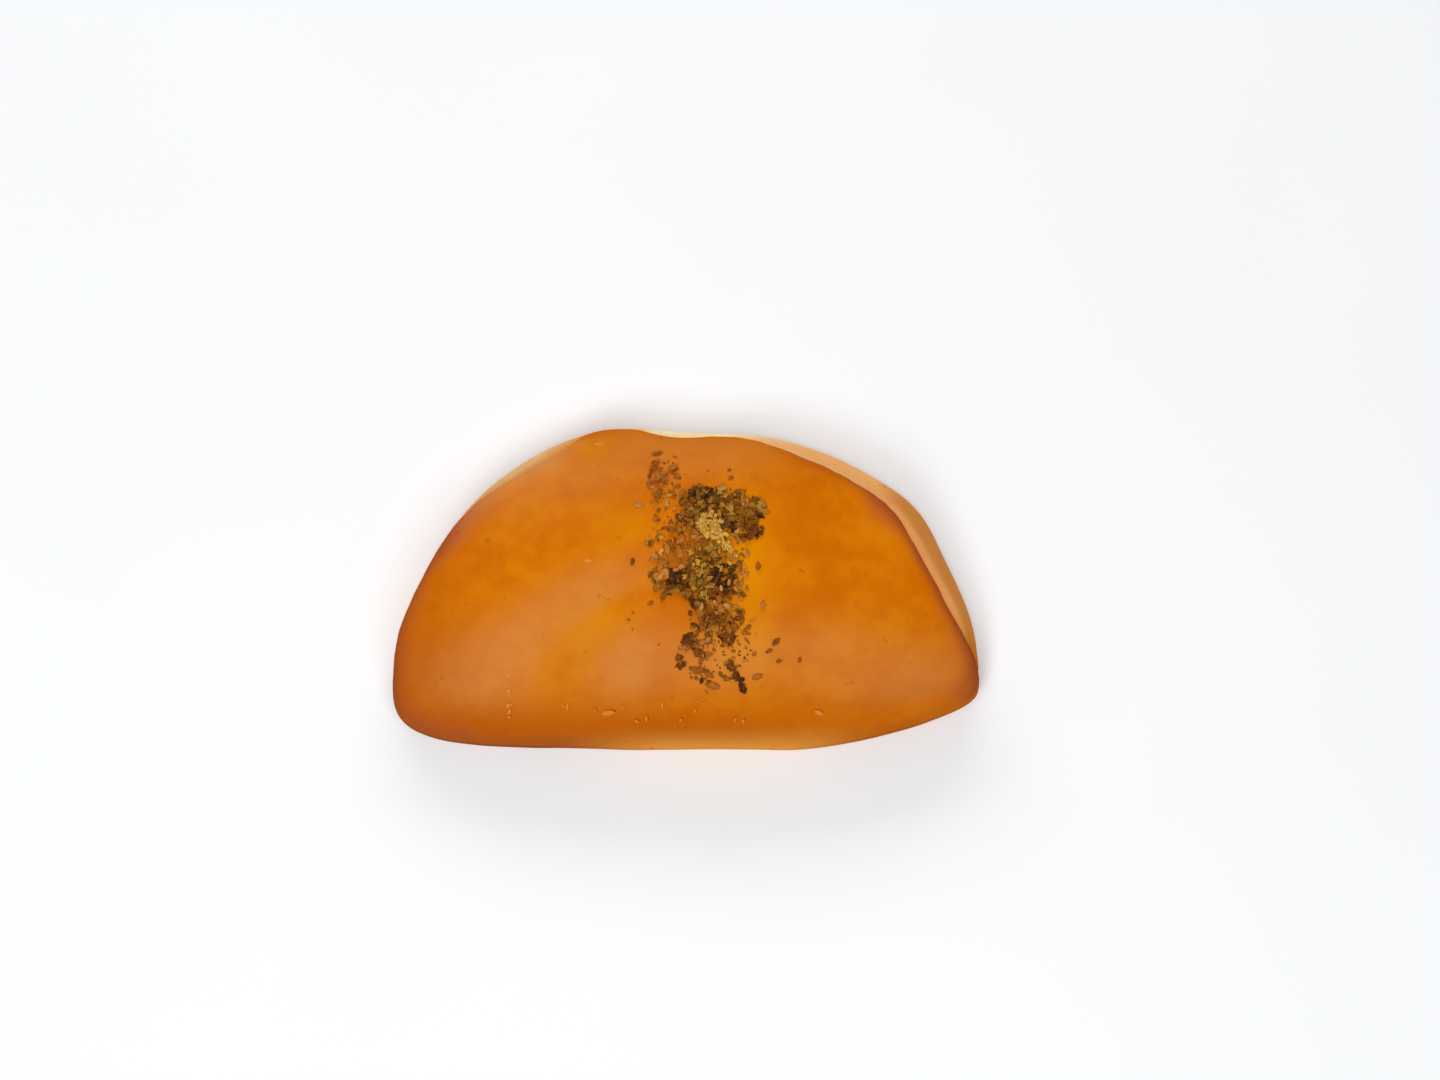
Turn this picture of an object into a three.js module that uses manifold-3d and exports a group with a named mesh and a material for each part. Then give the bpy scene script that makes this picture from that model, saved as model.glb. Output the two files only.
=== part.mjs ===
// A half-moon thyme pastry: a round of soft dough folded over on itself, baked brown,
// with a scatter of dried thyme on top. One solid, because dough and topping are baked together.
// Millimetres, +Z up. The fold runs along the front (-Y), the open seam runs round the back (+Y),
// and the origin is on the flat base, in the middle of the pastry's box.
import * as THREE from "three";
import { ParametricGeometry } from "three/addons/geometries/ParametricGeometry.js";
import { mergeVertices } from "three/addons/utils/BufferGeometryUtils.js";
import Module from "manifold-3d";

const wasm = await Module();
wasm.setup();

const { degToRad, lerp, smoothstep } = THREE.MathUtils;

// Driving sizes of the pastry.
const LENGTH = 140.4;
const HEIGHT = 29;
const LAYER = 8; // one baked layer of dough, at its edge
const FRONT_REACH = 19.4; // from the widest line to the front of the fold
const BACK_REACH = 61.6; // from the widest line to the back of the open seam
const WIDEST_Y = -20.6; // sets the widest line so that the box is centred on the origin

// How square the plan outline is in each quarter: 2 is an ellipse, larger is blunter.
const BLUNTNESS = { backRight: 2.12, backLeft: 2.02, frontLeft: 4.2, frontRight: 7.8 };
// The front edge slants back towards the right end.
const SLANT = { from: 24, rise: 10.4, power: 1.7 };
// Where the hand-made outline swells or draws in: bearing from +X and spread, in degrees, and how far out.
const UNEVEN = [
  { bearing: 23.5, spread: 12, out: -1.3 },
  { bearing: 34.5, spread: 9, out: 1.4 },
  { bearing: 63, spread: 11.5, out: -0.6 },
  { bearing: 86.5, spread: 13.5, out: -1.85 },
  { bearing: 114, spread: 14, out: 1.2 },
  { bearing: 131, spread: 13.5, out: 0.55 },
  { bearing: 161, spread: 15.5, out: -2.45 },
  { bearing: 212, spread: 15, out: -0.55 },
  { bearing: 341, spread: 8, out: -0.6 },
];

// The domed top, highest along its crest: how far it falls towards the fold, the seam and both ends.
const DOME = { crestY: 4, reach: 36, frontFall: 9, backFall: 15.5, endReach: 66, endFall: 7, endPower: 2.3 };

// The rounded fold: where it bulges most, as a share of the height, and how far in its roll and base reach.
const FOLD = { middle: 0.42, roll: 17, bluntness: 2.2, baseInset: 7, runOn: 5 };

// The two layers part round the back: the lower one shows as a lip under the upper one's edge.
const SEAM = { shutY: -27, openY: -4.5, lip: 3, softness: 0.5, crease: 2.2, creaseHeight: 1.06 * LAYER };
// Where along the length the lip is wider or narrower than that, and by how much.
const LIP_SWELLS = [
  { x: 59.5, spread: 18, size: 4.15 },
  { x: 34, spread: 16.5, size: 2.6 },
  { x: -4, spread: 10, size: 1.5 },
  { x: -12, spread: 7, size: -0.75 },
  { x: -22, spread: 9, size: -1.25 },
  { x: -40.5, spread: 11.5, size: 3 },
  { x: -68, spread: 10, size: -2.2 },
];

// Soft dents (negative) and swells of the top: place, half-lengths, turn in degrees, height.
const RELIEF = [
  { x: -15, y: -10.6, long: 9.5, wide: 3.2, turn: 28, height: -0.7 }, // pinch left of the thyme
  { x: -27.5, y: -3, long: 15, wide: 6, turn: 12, height: 0.4 },
  { x: -34, y: -20, long: 18, wide: 8, turn: 4, height: 0.5 },
  { x: 36, y: -18, long: 20, wide: 8, turn: -6, height: 0.5 },
  { x: 4.5, y: 4, long: 15, wide: 12, turn: 80, height: -0.4 }, // hollow that holds the thyme
  { x: -22, y: 31, long: 6, wide: 3.5, turn: 20, height: -0.4 },
  { x: 3, y: 37, long: 9, wide: 6, turn: 0, height: -0.6 }, // dip in the upper layer's back edge
];

// Fineness of the dough's mesh, and where its slices meet, top and bottom.
const SLICES = 80;
const RINGS = { base: 2, section: 18, dome: 6 };
const CROWN = new THREE.Vector2(0, -4);
const CORNER_SOFTNESS = 0.035; // share of the outline over which its direction is taken
const RIM_KNOT = 6; // the knot where the upper layer's edge turns over into its top
const TOP_KNOT = 8; // the knot from which the top has its full relief

// Thyme: patches in the order they were strewn, each an ellipse on the plan with its count of flakes.
const PATCHES = [
  { x: 8.3, y: 14, long: 11, wide: 5.3, turn: -8, flakes: 33 },
  { x: -4.2, y: 3.5, long: 9.5, wide: 4.6, turn: 95, flakes: 22 },
  { x: 4.3, y: -5, long: 10, wide: 6.2, turn: 0, flakes: 33 },
  { x: 7.8, y: 5.5, long: 6, wide: 4, turn: -40, flakes: 12 },
  { x: 8, y: -14, long: 6.5, wide: 5.5, turn: 0, flakes: 16 },
  { x: 9, y: -24, long: 13, wide: 7.5, turn: 8, flakes: 18 },
  { x: -5.5, y: 22.5, long: 7.5, wide: 3.6, turn: 80, flakes: 10 },
  { x: 3, y: -6, long: 28, wide: 20, turn: 70, flakes: 12 },
];
const FLAKE = { long: [0.9, 1.8], wide: [0.6, 1], thick: [0.45, 0.75], sunk: 0.25, lean: 0.5, crumb: 1.3 };
const GOLDEN_ANGLE = Math.PI * (3 - Math.sqrt(5));
const SEED = 20;

const CRUST = new THREE.MeshStandardMaterial({ color: 0xd0700c, roughness: 0.5, metalness: 0 });

// Numbers from 0 to 1 in a fixed order.
function seededRandom(seed) {
  let state = seed;
  return () => {
    state = (state + 0x6d2b79f5) | 0;
    let mixed = Math.imul(state ^ (state >>> 15), 1 | state);
    mixed = (mixed + Math.imul(mixed ^ (mixed >>> 7), 61 | mixed)) ^ mixed;
    return ((mixed ^ (mixed >>> 14)) >>> 0) / 2 ** 32;
  };
}

// A bell of height 1 about zero.
function bell(distance, spread) {
  return Math.exp(-((distance / spread) ** 2));
}

// Height of a round hill of height 1 on an ellipse, at a point of the plan.
function hill({ x, y, long, wide, turn }, atX, atY) {
  const angle = degToRad(turn);
  const along = (atX - x) * Math.cos(angle) + (atY - y) * Math.sin(angle);
  const across = (atY - y) * Math.cos(angle) - (atX - x) * Math.sin(angle);
  return bell(along, long) * bell(across, wide);
}

// Height of the domed top over a point of the plan.
function domeHeight(x, y) {
  const front = Math.min(y - DOME.crestY, 0) / DOME.reach;
  const back = Math.max(y - DOME.crestY, 0) / DOME.reach;
  const end = (Math.abs(x) / DOME.endReach) ** DOME.endPower;
  return HEIGHT - DOME.frontFall * front ** 2 - DOME.backFall * back ** 2 - DOME.endFall * end;
}

// How far the lower layer's lip stands out from under the upper layer, or is tucked in where it is negative.
function lipWidth(x) {
  return LIP_SWELLS.reduce((width, swell) => width + swell.size * bell(x - swell.x, swell.spread), SEAM.lip);
}

// Plan outline at the pastry's widest: round at the back, with a straight blunt fold across the front.
class HalfMoon extends THREE.Curve {
  constructor() {
    super();
    this.arcLengthDivisions = 720;
  }

  getPoint(share, target = new THREE.Vector2()) {
    const cos = Math.cos(2 * Math.PI * share);
    const sin = Math.sin(2 * Math.PI * share);
    const end = cos < 0 ? "Left" : "Right";
    const power = BLUNTNESS[(sin < 0 ? "front" : "back") + end];
    const reach = sin < 0 ? FRONT_REACH : BACK_REACH;
    const stretch = (Math.abs(cos) / (LENGTH / 2)) ** power + (Math.abs(sin) / reach) ** power;
    const radius = UNEVEN.reduce(
      (sum, { bearing, spread, out }) => sum + out * bell(360 * share - bearing, spread),
      stretch ** (-1 / power),
    );
    const x = radius * cos;
    const y = radius * sin;
    const frontShare = Math.max(-y / FRONT_REACH, 0);
    const slant = Math.max((x - SLANT.from) / (LENGTH / 2 - SLANT.from), 0) ** SLANT.power;
    return target.set(x, WIDEST_Y + y + frontShare * SLANT.rise * slant);
  }

  // Direction of the outline, taken over a stretch so that the corners stay soft.
  softTangentAt(share) {
    const ahead = this.getPointAt((share + CORNER_SOFTNESS) % 1);
    const behind = this.getPointAt((share - CORNER_SOFTNESS + 1) % 1);
    return ahead.sub(behind).normalize();
  }
}

// Knots across the rounded fold, at about the heights of the seam's knots, so that one runs into the other:
// distance in from the outline, and share of the dome's height there.
function foldKnots() {
  const power = 2 / FOLD.bluntness;
  const under = [90, 60, 35, 18, 9, 0].map(degToRad).map((angle) => [
    FOLD.baseInset * (1 - Math.cos(angle)),
    FOLD.middle * (1 - Math.sin(angle)),
  ]);
  const over = [12, 32, 56, 90].map(degToRad).map((angle) => [
    FOLD.roll * (1 - Math.cos(angle) ** power),
    lerp(FOLD.middle, 1, Math.sin(angle) ** power),
  ]);
  return [...under, ...over, [FOLD.roll + FOLD.runOn, 1]];
}

// Knots across the open seam: the lower layer's rounded lip, the crease, and the upper layer's edge.
// Each has its distance in from the outline, a height, and its share of the way from there to the dome.
// Whichever layer stands out farther reaches the outline.
function seamKnots(lip) {
  const upper = (lip + Math.hypot(lip, SEAM.softness)) / 2;
  const lower = upper - lip;
  return [
    [lower + FOLD.baseInset, 0, 0],
    [lower + 0.24 * FOLD.baseInset, 0.14 * LAYER, 0],
    [lower, 0.52 * LAYER, 0],
    [lerp(lower, upper, 0.45), 0.92 * LAYER, 0],
    [Math.max(lower, upper), LAYER, 0],
    [upper + SEAM.crease, SEAM.creaseHeight, 0],
    [upper - 0.1, SEAM.creaseHeight, 0.36],
    [upper + 0.9, SEAM.creaseHeight, 0.72],
    [upper + 3.4, SEAM.creaseHeight, 0.93],
    [upper + 7, SEAM.creaseHeight, 1],
    [upper + 11, SEAM.creaseHeight, 1],
  ];
}

// One slice of the dough, from a place on the outline in to the crown.
class Slice {
  constructor(outline, share) {
    this.edge = outline.getPointAt(share);
    this.inward = CROWN.clone().sub(this.edge);
    const reach = this.inward.length();
    const tangent = outline.softTangentAt(share);
    this.inward.divideScalar(tangent.cross(this.inward));
    this.run = reach / this.inward.length();
    const open = smoothstep(this.edge.y, SEAM.shutY, SEAM.openY);
    const seam = seamKnots(lipWidth(this.edge.x));
    const fold = foldKnots();
    const insets = fold.map(([foldInset], i) => lerp(foldInset, seam[i][0], open));
    const outmost = Math.min(...insets);
    this.knots = fold.map(([, foldShare], i) => {
      const [, seamLow, seamShare] = seam[i];
      const inset = insets[i] - outmost;
      const { x, y } = this.planAt(inset);
      const top = domeHeight(x, y);
      return new THREE.Vector2(inset, lerp(foldShare * top, lerp(seamLow, top, seamShare), open));
    });
    this.spline = new THREE.SplineCurve(this.knots);
    this.lastKnot = this.knots.length - 2;
  }

  // The point of the plan at a distance in from the outline.
  planAt(inset) {
    return this.edge.clone().addScaledVector(this.inward, inset);
  }

  // The flat base, from the crown's foot out to the base's edge.
  basePoint(share, target) {
    const { x, y } = this.planAt(lerp(this.run, FOLD.baseInset, share));
    return target.set(x, y, 0);
  }

  // The side, from the base's edge round the rim until it runs into the dome.
  sidePoint(share, target) {
    const knot = share * this.lastKnot;
    const at = this.spline.getPoint(knot / (this.knots.length - 1));
    const { x, y } = this.planAt(at.x);
    target.set(x, y, lerp(at.y, domeHeight(x, y), smoothstep(knot, RIM_KNOT, this.lastKnot)));
    return addRelief(target, smoothstep(knot, RIM_KNOT, TOP_KNOT));
  }

  // The domed top, from the rim in to the crown.
  topPoint(share, target) {
    const { x, y } = this.planAt(lerp(this.knots[this.lastKnot].x, this.run, share));
    return addRelief(target.set(x, y, domeHeight(x, y)), 1);
  }
}

// Raises or lowers a point of the top by the dents and swells there.
function addRelief(point, strength) {
  for (const form of RELIEF) point.z += strength * form.height * hill(form, point.x, point.y);
  return point;
}

// The dough: slices all round the outline, each from the middle of the base round the rim to the crown.
function doughGeometry() {
  const outline = new HalfMoon();
  const rings = RINGS.base + RINGS.section + RINGS.dome;
  return new ParametricGeometry(
    (u, v, target) => {
      const slice = new Slice(outline, u % 1);
      const ring = v * rings;
      if (ring < RINGS.base) {
        slice.basePoint(ring / RINGS.base, target);
      } else if (ring < RINGS.base + RINGS.section) {
        slice.sidePoint((ring - RINGS.base) / RINGS.section, target);
      } else {
        slice.topPoint((ring - RINGS.base - RINGS.section) / RINGS.dome, target);
      }
    },
    SLICES,
    rings,
  );
}

// A closed geometry as a solid that can be joined to others.
function solidOf(geometry) {
  const bare = geometry.clone();
  bare.deleteAttribute("normal");
  bare.deleteAttribute("uv");
  const merged = mergeVertices(bare, 1e-3);
  return new wasm.Manifold(
    new wasm.Mesh({
      numProp: 3,
      vertProperties: merged.attributes.position.array,
      triVerts: new Uint32Array(merged.index.array),
    }),
  );
}

// The solid's surface as a geometry with normals.
function geometryOf(solid) {
  const mesh = solid.getMesh();
  const geometry = new THREE.BufferGeometry();
  geometry.setAttribute("position", new THREE.BufferAttribute(mesh.vertProperties, 3));
  geometry.setIndex(new THREE.BufferAttribute(mesh.triVerts, 1));
  geometry.computeVertexNormals();
  return geometry;
}

// One curled flake of dried thyme, as a small faceted lump pressed a little into the dough.
function flakeGeometry(size, place, normal, spin, lean) {
  const crumb = size.long < FLAKE.crumb;
  const flake = crumb ? new THREE.OctahedronGeometry(1, 0) : new THREE.IcosahedronGeometry(1, 0);
  flake.scale(size.long, size.wide, size.thick);
  flake.rotateZ(spin);
  flake.rotateX(lean);
  const upright = new THREE.Quaternion().setFromUnitVectors(new THREE.Vector3(0, 0, 1), normal);
  flake.applyQuaternion(upright);
  const lift = size.thick * (1 - FLAKE.sunk) - FLAKE.sunk;
  flake.translate(...place.clone().addScaledVector(normal, lift).toArray());
  return flake;
}

// All the flakes: each patch is filled evenly by a sunflower spiral, with the larger ones in its middle.
function thymeGeometries(dough) {
  const random = seededRandom(SEED);
  const between = ([low, high], share) => lerp(low, high, share);
  const caster = new THREE.Raycaster();
  const flakes = [];
  for (const patch of PATCHES) {
    for (let k = 0; k < patch.flakes; k++) {
      const radius = Math.sqrt((k + 0.3 + 0.4 * random()) / patch.flakes);
      const angle = k * GOLDEN_ANGLE + 0.5 * random();
      const spot = new THREE.Vector2(patch.long * Math.cos(angle), patch.wide * Math.sin(angle));
      spot.multiplyScalar(radius).rotateAround(new THREE.Vector2(), degToRad(patch.turn));
      const above = new THREE.Vector3(patch.x + spot.x, patch.y + spot.y, 2 * HEIGHT);
      caster.set(above, new THREE.Vector3(0, 0, -1));
      const [hit] = caster.intersectObject(dough);
      const bigness = 1 - 0.7 * radius * random();
      const size = {
        long: between(FLAKE.long, bigness * random() ** 0.5),
        wide: between(FLAKE.wide, bigness * random()),
        thick: between(FLAKE.thick, random()),
      };
      const lean = FLAKE.lean * (random() - 0.5);
      flakes.push(flakeGeometry(size, hit.point, hit.face.normal, Math.PI * random(), lean));
    }
  }
  return flakes;
}

// Dough and thyme joined, without any pocket of air that the joining shut in.
function pastryGeometry() {
  const dough = new THREE.Mesh(doughGeometry());
  const joined = thymeGeometries(dough).reduce(
    (solid, flake) => solid.add(solidOf(flake)),
    solidOf(dough.geometry),
  );
  const bodies = joined.decompose().sort((a, b) => b.volume() - a.volume());
  return geometryOf(bodies[0]);
}

const pastry = new THREE.Mesh(pastryGeometry(), CRUST);
pastry.name = "pastry";

const part = new THREE.Group();
part.add(pastry);
export default part;
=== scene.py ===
"""Looks of a half-moon thyme pastry: its egg-washed crust, its pale open seam and the thyme strewn on top.

Shapes are worked out in millimetres in the solid's own frame (+X along the fold, +Y from the fold to the
open seam, +Z up) and become joined meshes in metres.
"""

import logging
from dataclasses import dataclass, field
from enum import Enum

import bpy
import numpy as np
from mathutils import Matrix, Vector, noise


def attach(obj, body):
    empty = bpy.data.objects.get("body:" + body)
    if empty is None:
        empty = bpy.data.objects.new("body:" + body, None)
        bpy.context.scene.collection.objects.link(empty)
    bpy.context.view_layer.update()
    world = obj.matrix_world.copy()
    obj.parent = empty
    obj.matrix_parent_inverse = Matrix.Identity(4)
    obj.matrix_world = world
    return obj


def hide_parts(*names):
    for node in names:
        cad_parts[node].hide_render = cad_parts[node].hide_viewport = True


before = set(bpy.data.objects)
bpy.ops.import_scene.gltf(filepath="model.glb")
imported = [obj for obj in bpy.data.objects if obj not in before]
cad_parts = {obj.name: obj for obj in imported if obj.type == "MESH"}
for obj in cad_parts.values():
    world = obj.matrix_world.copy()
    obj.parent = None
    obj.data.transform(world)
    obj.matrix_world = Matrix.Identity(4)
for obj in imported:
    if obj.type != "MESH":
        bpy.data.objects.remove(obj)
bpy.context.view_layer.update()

LOG = logging.getLogger("pastry")
MM = 0.001
TINY = 1e-9
BODY = "root"
NODE = "pastry"

Colour = tuple[float, float, float, float]
Stops = tuple[tuple[float, Colour], ...]
Faces = list[tuple[int, ...]]
Waves = tuple[tuple[float, float, float], ...]


def srgb(red: int, green: int, blue: int) -> Colour:
    """Turns a colour as a screen shows it into the linear colour that a shader takes.

    Args:
        red: Red from 0 to 255.
        green: Green from 0 to 255.
        blue: Blue from 0 to 255.

    Returns:
        The linear colour, with full alpha.
    """
    shares = np.array([red, green, blue]) / 255
    linear = np.where(shares <= 0.04045, shares / 12.92, ((shares + 0.055) / 1.055) ** 2.4)
    return (*linear.tolist(), 1.0)


def ramp_stops(*rows: tuple[float, int, int, int]) -> Stops:
    """A ramp's stops from rows of a place and the red, green and blue of a screen colour."""
    return tuple((place, srgb(*screen)) for place, *screen in rows)


def smoothstep(values: np.ndarray, low: float, high: float) -> np.ndarray:
    """Rises smoothly from 0 at low to 1 at high.

    Args:
        values: The numbers to map.
        low: Where the rise starts.
        high: Where it ends.

    Returns:
        Numbers from 0 to 1.
    """
    share = np.clip((values - low) / (high - low), 0, 1)
    return share * share * (3 - 2 * share)


def bell(distance: np.ndarray, spread: float) -> np.ndarray:
    """A bell of height 1 about zero."""
    return np.exp(-((distance / spread) ** 2))


def lerp(first: np.ndarray, second: np.ndarray, share: np.ndarray) -> np.ndarray:
    """Goes from first to second as share goes from 0 to 1."""
    return first + (second - first) * share


def unit(vectors: np.ndarray) -> np.ndarray:
    """The vectors, all of length 1."""
    return vectors / np.linalg.norm(vectors, axis=-1, keepdims=True)


def ripple(points: np.ndarray, wavelength: float, offset: float = 0.0) -> np.ndarray:
    """Smooth noise over points.

    Args:
        points: Points in millimetres, as rows of three.
        wavelength: Rough distance between swells, in millimetres.
        offset: Moves the noise, so that two calls don't agree.

    Returns:
        One number from about -1 to 1 for each point.
    """
    places = points.reshape(-1, 3) / wavelength + offset
    return np.array([noise.noise(place) for place in places.tolist()]).reshape(points.shape[:-1])


def ripples(points: np.ndarray, waves: Waves) -> np.ndarray:
    """Noise over points, summed from waves of a height, a wavelength and an offset each."""
    return sum(height * ripple(points, wavelength, offset) for height, wavelength, offset in waves)


def spline(knots: np.ndarray, at: np.ndarray) -> np.ndarray:
    """Smooth curves through rows of knots.

    Args:
        knots: Rows of knots, (rows, knots, 2).
        at: Places along the rows, counted in knots.

    Returns:
        The curves' points, (rows, places, 2).
    """
    last = knots.shape[1] - 1
    start = np.floor(at).astype(int)
    share = (at - start)[:, None]
    before, here, there, after = (knots[:, np.clip(start + step, 0, last)] for step in (-1, 0, 1, 2))
    leave = (there - before) / 2
    arrive = (after - here) / 2
    cubic = (2 * here - 2 * there + leave + arrive) * share**3
    square = (3 * there - 3 * here - 2 * leave - arrive) * share**2
    return cubic + square + leave * share + here


class Sock:
    """A shader value that can be used in arithmetic: each operator adds one Math node."""

    def __init__(self, graph: "Graph", socket: bpy.types.NodeSocket) -> None:
        """Wraps an output socket of a graph."""
        self.graph = graph
        self.socket = socket

    def _math(self, operation: str, first: "Feed", second: "Feed") -> "Sock":
        """Adds a Math node of that operation on two values."""
        return self.graph.node("ShaderNodeMath", {"operation": operation}, {0: first, 1: second})

    def __add__(self, other: "Feed") -> "Sock":
        """self + other"""
        return self._math("ADD", self, other)

    __radd__ = __add__

    def __mul__(self, other: "Feed") -> "Sock":
        """self * other"""
        return self._math("MULTIPLY", self, other)

    __rmul__ = __mul__

    def __sub__(self, other: "Feed") -> "Sock":
        """self - other"""
        return self._math("SUBTRACT", self, other)

    def __rsub__(self, other: "Feed") -> "Sock":
        """other - self"""
        return self._math("SUBTRACT", other, self)


Feed = Sock | float | tuple


class Graph:
    """Builds the node tree of one material."""

    MIX_FACTOR, MIX_A, MIX_B, MIX_RESULT = 0, 6, 7, 2

    def __init__(self, name: str) -> None:
        """Makes an empty material.

        Args:
            name: The material's name.
        """
        self.material = bpy.data.materials.new(name)
        self.material.use_nodes = True
        self.tree = self.material.node_tree
        self.tree.nodes.clear()

    def _add(self, kind: str, settings: dict[str, object], sockets: dict[str | int, Feed]) -> bpy.types.Node:
        """Adds a node.

        Args:
            kind: The node's type.
            settings: Its settings, set first; "stops" holds a ramp's stops as (place, colour) pairs.
            sockets: The value of, or the link to, each input by name or number.

        Returns:
            The node.
        """
        made = self.tree.nodes.new(kind)
        for key, value in settings.items():
            if key == "stops":
                self._set_stops(made.color_ramp, value)
            else:
                setattr(made, key, value)
        for key, value in sockets.items():
            if isinstance(value, Sock):
                self.tree.links.new(value.socket, made.inputs[key])
            else:
                made.inputs[key].default_value = value
        return made

    @staticmethod
    def _set_stops(ramp: bpy.types.ColorRamp, stops: Stops) -> None:
        """Gives a colour ramp its stops.

        Args:
            ramp: The ramp, with the two stops that a new one has.
            stops: Two or more (place, colour) pairs, from low to high.
        """
        for place, _ in stops[1:-1]:
            ramp.elements.new(place)
        for element, (place, colour) in zip(ramp.elements, stops):
            element.position = place
            element.color = colour

    def node(
        self,
        kind: str,
        settings: dict[str, object] | None = None,
        sockets: dict[str | int, Feed] | None = None,
        out: str | int = 0,
    ) -> Sock:
        """Adds a node with these settings and inputs, and gives the output that is wanted."""
        return Sock(self, self._add(kind, settings or {}, sockets or {}).outputs[out])

    def attribute(self, name: str) -> Sock:
        """A number that the mesh holds at each of its points."""
        return self.node("ShaderNodeAttribute", {"attribute_name": name}, out="Fac")

    def coordinates(self) -> Sock:
        """Places on the piece, in metres in the solid's frame."""
        return self.node("ShaderNodeTexCoord", out="Object")

    def noise(self, where: Sock, wavelength: float, detail: float = 2.0, roughness: float = 0.5) -> Sock:
        """Smooth noise from 0 to 1, with its largest blotches of that size in millimetres."""
        sockets = {"Vector": where, "Scale": 1 / (wavelength * MM), "Detail": detail, "Roughness": roughness}
        return self.node("ShaderNodeTexNoise", {"noise_dimensions": "3D"}, sockets)

    def rise(self, value: Sock, low: float, high: float) -> Sock:
        """A value's smooth rise from 0 at low to 1 at high."""
        settings = {"interpolation_type": "SMOOTHSTEP", "clamp": True}
        return self.node("ShaderNodeMapRange", settings, {"Value": value, "From Min": low, "From Max": high})

    def ramp(self, value: Sock, stops: Stops) -> Sock:
        """The colour of a ramp at a value."""
        return self.node("ShaderNodeValToRGB", {"stops": stops}, {"Fac": value}, out="Color")

    def blend(self, under: Feed, over: Feed, share: Feed) -> Sock:
        """Lays one colour over another.

        Args:
            under: The colour below.
            over: The colour above.
            share: How much of the colour above shows.

        Returns:
            The blended colour.
        """
        settings = {"data_type": "RGBA", "blend_type": "MIX", "clamp_factor": True}
        sockets = {self.MIX_FACTOR: share, self.MIX_A: under, self.MIX_B: over}
        return self.node("ShaderNodeMix", settings, sockets, out=self.MIX_RESULT)

    def bump(self, height: Sock, depth: float, strength: float) -> Sock:
        """The normal with a fine relief, from a height of 0 to 1 and a depth in millimetres."""
        sockets = {"Height": height, "Distance": depth * MM, "Strength": strength}
        return self.node("ShaderNodeBump", None, sockets)

    def surface(self, **sockets: Feed) -> Sock:
        """Adds a surface shader; underscores stand for the spaces in its inputs' names."""
        named = {key.replace("_", " "): value for key, value in sockets.items()}
        return self.node("ShaderNodeBsdfPrincipled", None, named)

    def mixed(self, under: Sock, over: Sock, share: Sock) -> Sock:
        """Lays one surface shader over another."""
        return self.node("ShaderNodeMixShader", None, {0: share, 1: under, 2: over})

    def finish(self, shader: Sock) -> bpy.types.Material:
        """Ends the tree in a surface shader and returns the material."""
        self._add("ShaderNodeOutputMaterial", {}, {"Surface": shader})
        return self.material


def make_piece(
    name: str,
    points: np.ndarray,
    faces: Faces,
    numbers: dict[str, np.ndarray],
    material: bpy.types.Material,
) -> bpy.types.Object:
    """Makes a smooth mesh in the scene.

    Args:
        name: The piece's name.
        points: Its points in millimetres.
        faces: Its faces, as numbers of points.
        numbers: Numbers for the shader, one for each point.
        material: Its finish.

    Returns:
        The piece.
    """
    mesh = bpy.data.meshes.new(name)
    mesh.from_pydata((points * MM).tolist(), [], faces)
    for key, values in numbers.items():
        mesh.attributes.new(key, "FLOAT", "POINT").data.foreach_set("value", values.astype(np.float32))
    mesh.shade_smooth()
    mesh.materials.append(material)
    piece = bpy.data.objects.new(name, mesh)
    bpy.context.scene.collection.objects.link(piece)
    return piece


@dataclass(frozen=True)
class Oval:
    """An ellipse on the plan: its middle, its half-lengths and its turn in degrees."""

    x: float
    y: float
    long: float
    wide: float
    turn: float

    CROWDING = 0.55

    def hill(self, x: np.ndarray, y: np.ndarray) -> np.ndarray:
        """Height of a round hill of height 1 over the ellipse.

        Args:
            x: Places along the length.
            y: Places across it.

        Returns:
            The heights there.
        """
        angle = np.radians(self.turn)
        along = (x - self.x) * np.cos(angle) + (y - self.y) * np.sin(angle)
        across = (y - self.y) * np.cos(angle) - (x - self.x) * np.sin(angle)
        return bell(along, self.long) * bell(across, self.wide)

    def spots(self, count: int, rng: np.random.Generator) -> np.ndarray:
        """Places strewn over the ellipse, a little denser in its middle.

        Args:
            count: How many.
            rng: The source of random numbers.

        Returns:
            The places, (count, 2).
        """
        angle = np.radians(self.turn)
        radius = rng.random(count) ** self.CROWDING
        bearing = rng.random(count) * 2 * np.pi
        along = self.long * radius * np.cos(bearing)
        across = self.wide * radius * np.sin(bearing)
        x = self.x + along * np.cos(angle) - across * np.sin(angle)
        y = self.y + along * np.sin(angle) + across * np.cos(angle)
        return np.stack([x, y], -1)


Coats = tuple[tuple[Oval, float], ...]


def laid(coats: Coats, x: np.ndarray, y: np.ndarray) -> np.ndarray:
    """Hills of given heights over some ellipses, run together at places on the plan."""
    return 1 - np.prod([1 - height * oval.hill(x, y) for oval, height in coats], 0)


@dataclass(frozen=True)
class Span:
    """A stretch of some measure along which a tint sets in."""

    low: float
    high: float

    def rise(self, values: np.ndarray) -> np.ndarray:
        """Goes from 0 before the stretch to 1 past it."""
        return smoothstep(values, self.low, self.high)

    def fall(self, values: np.ndarray) -> np.ndarray:
        """Goes from 1 before the stretch to 0 past it."""
        return 1 - self.rise(values)


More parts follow.
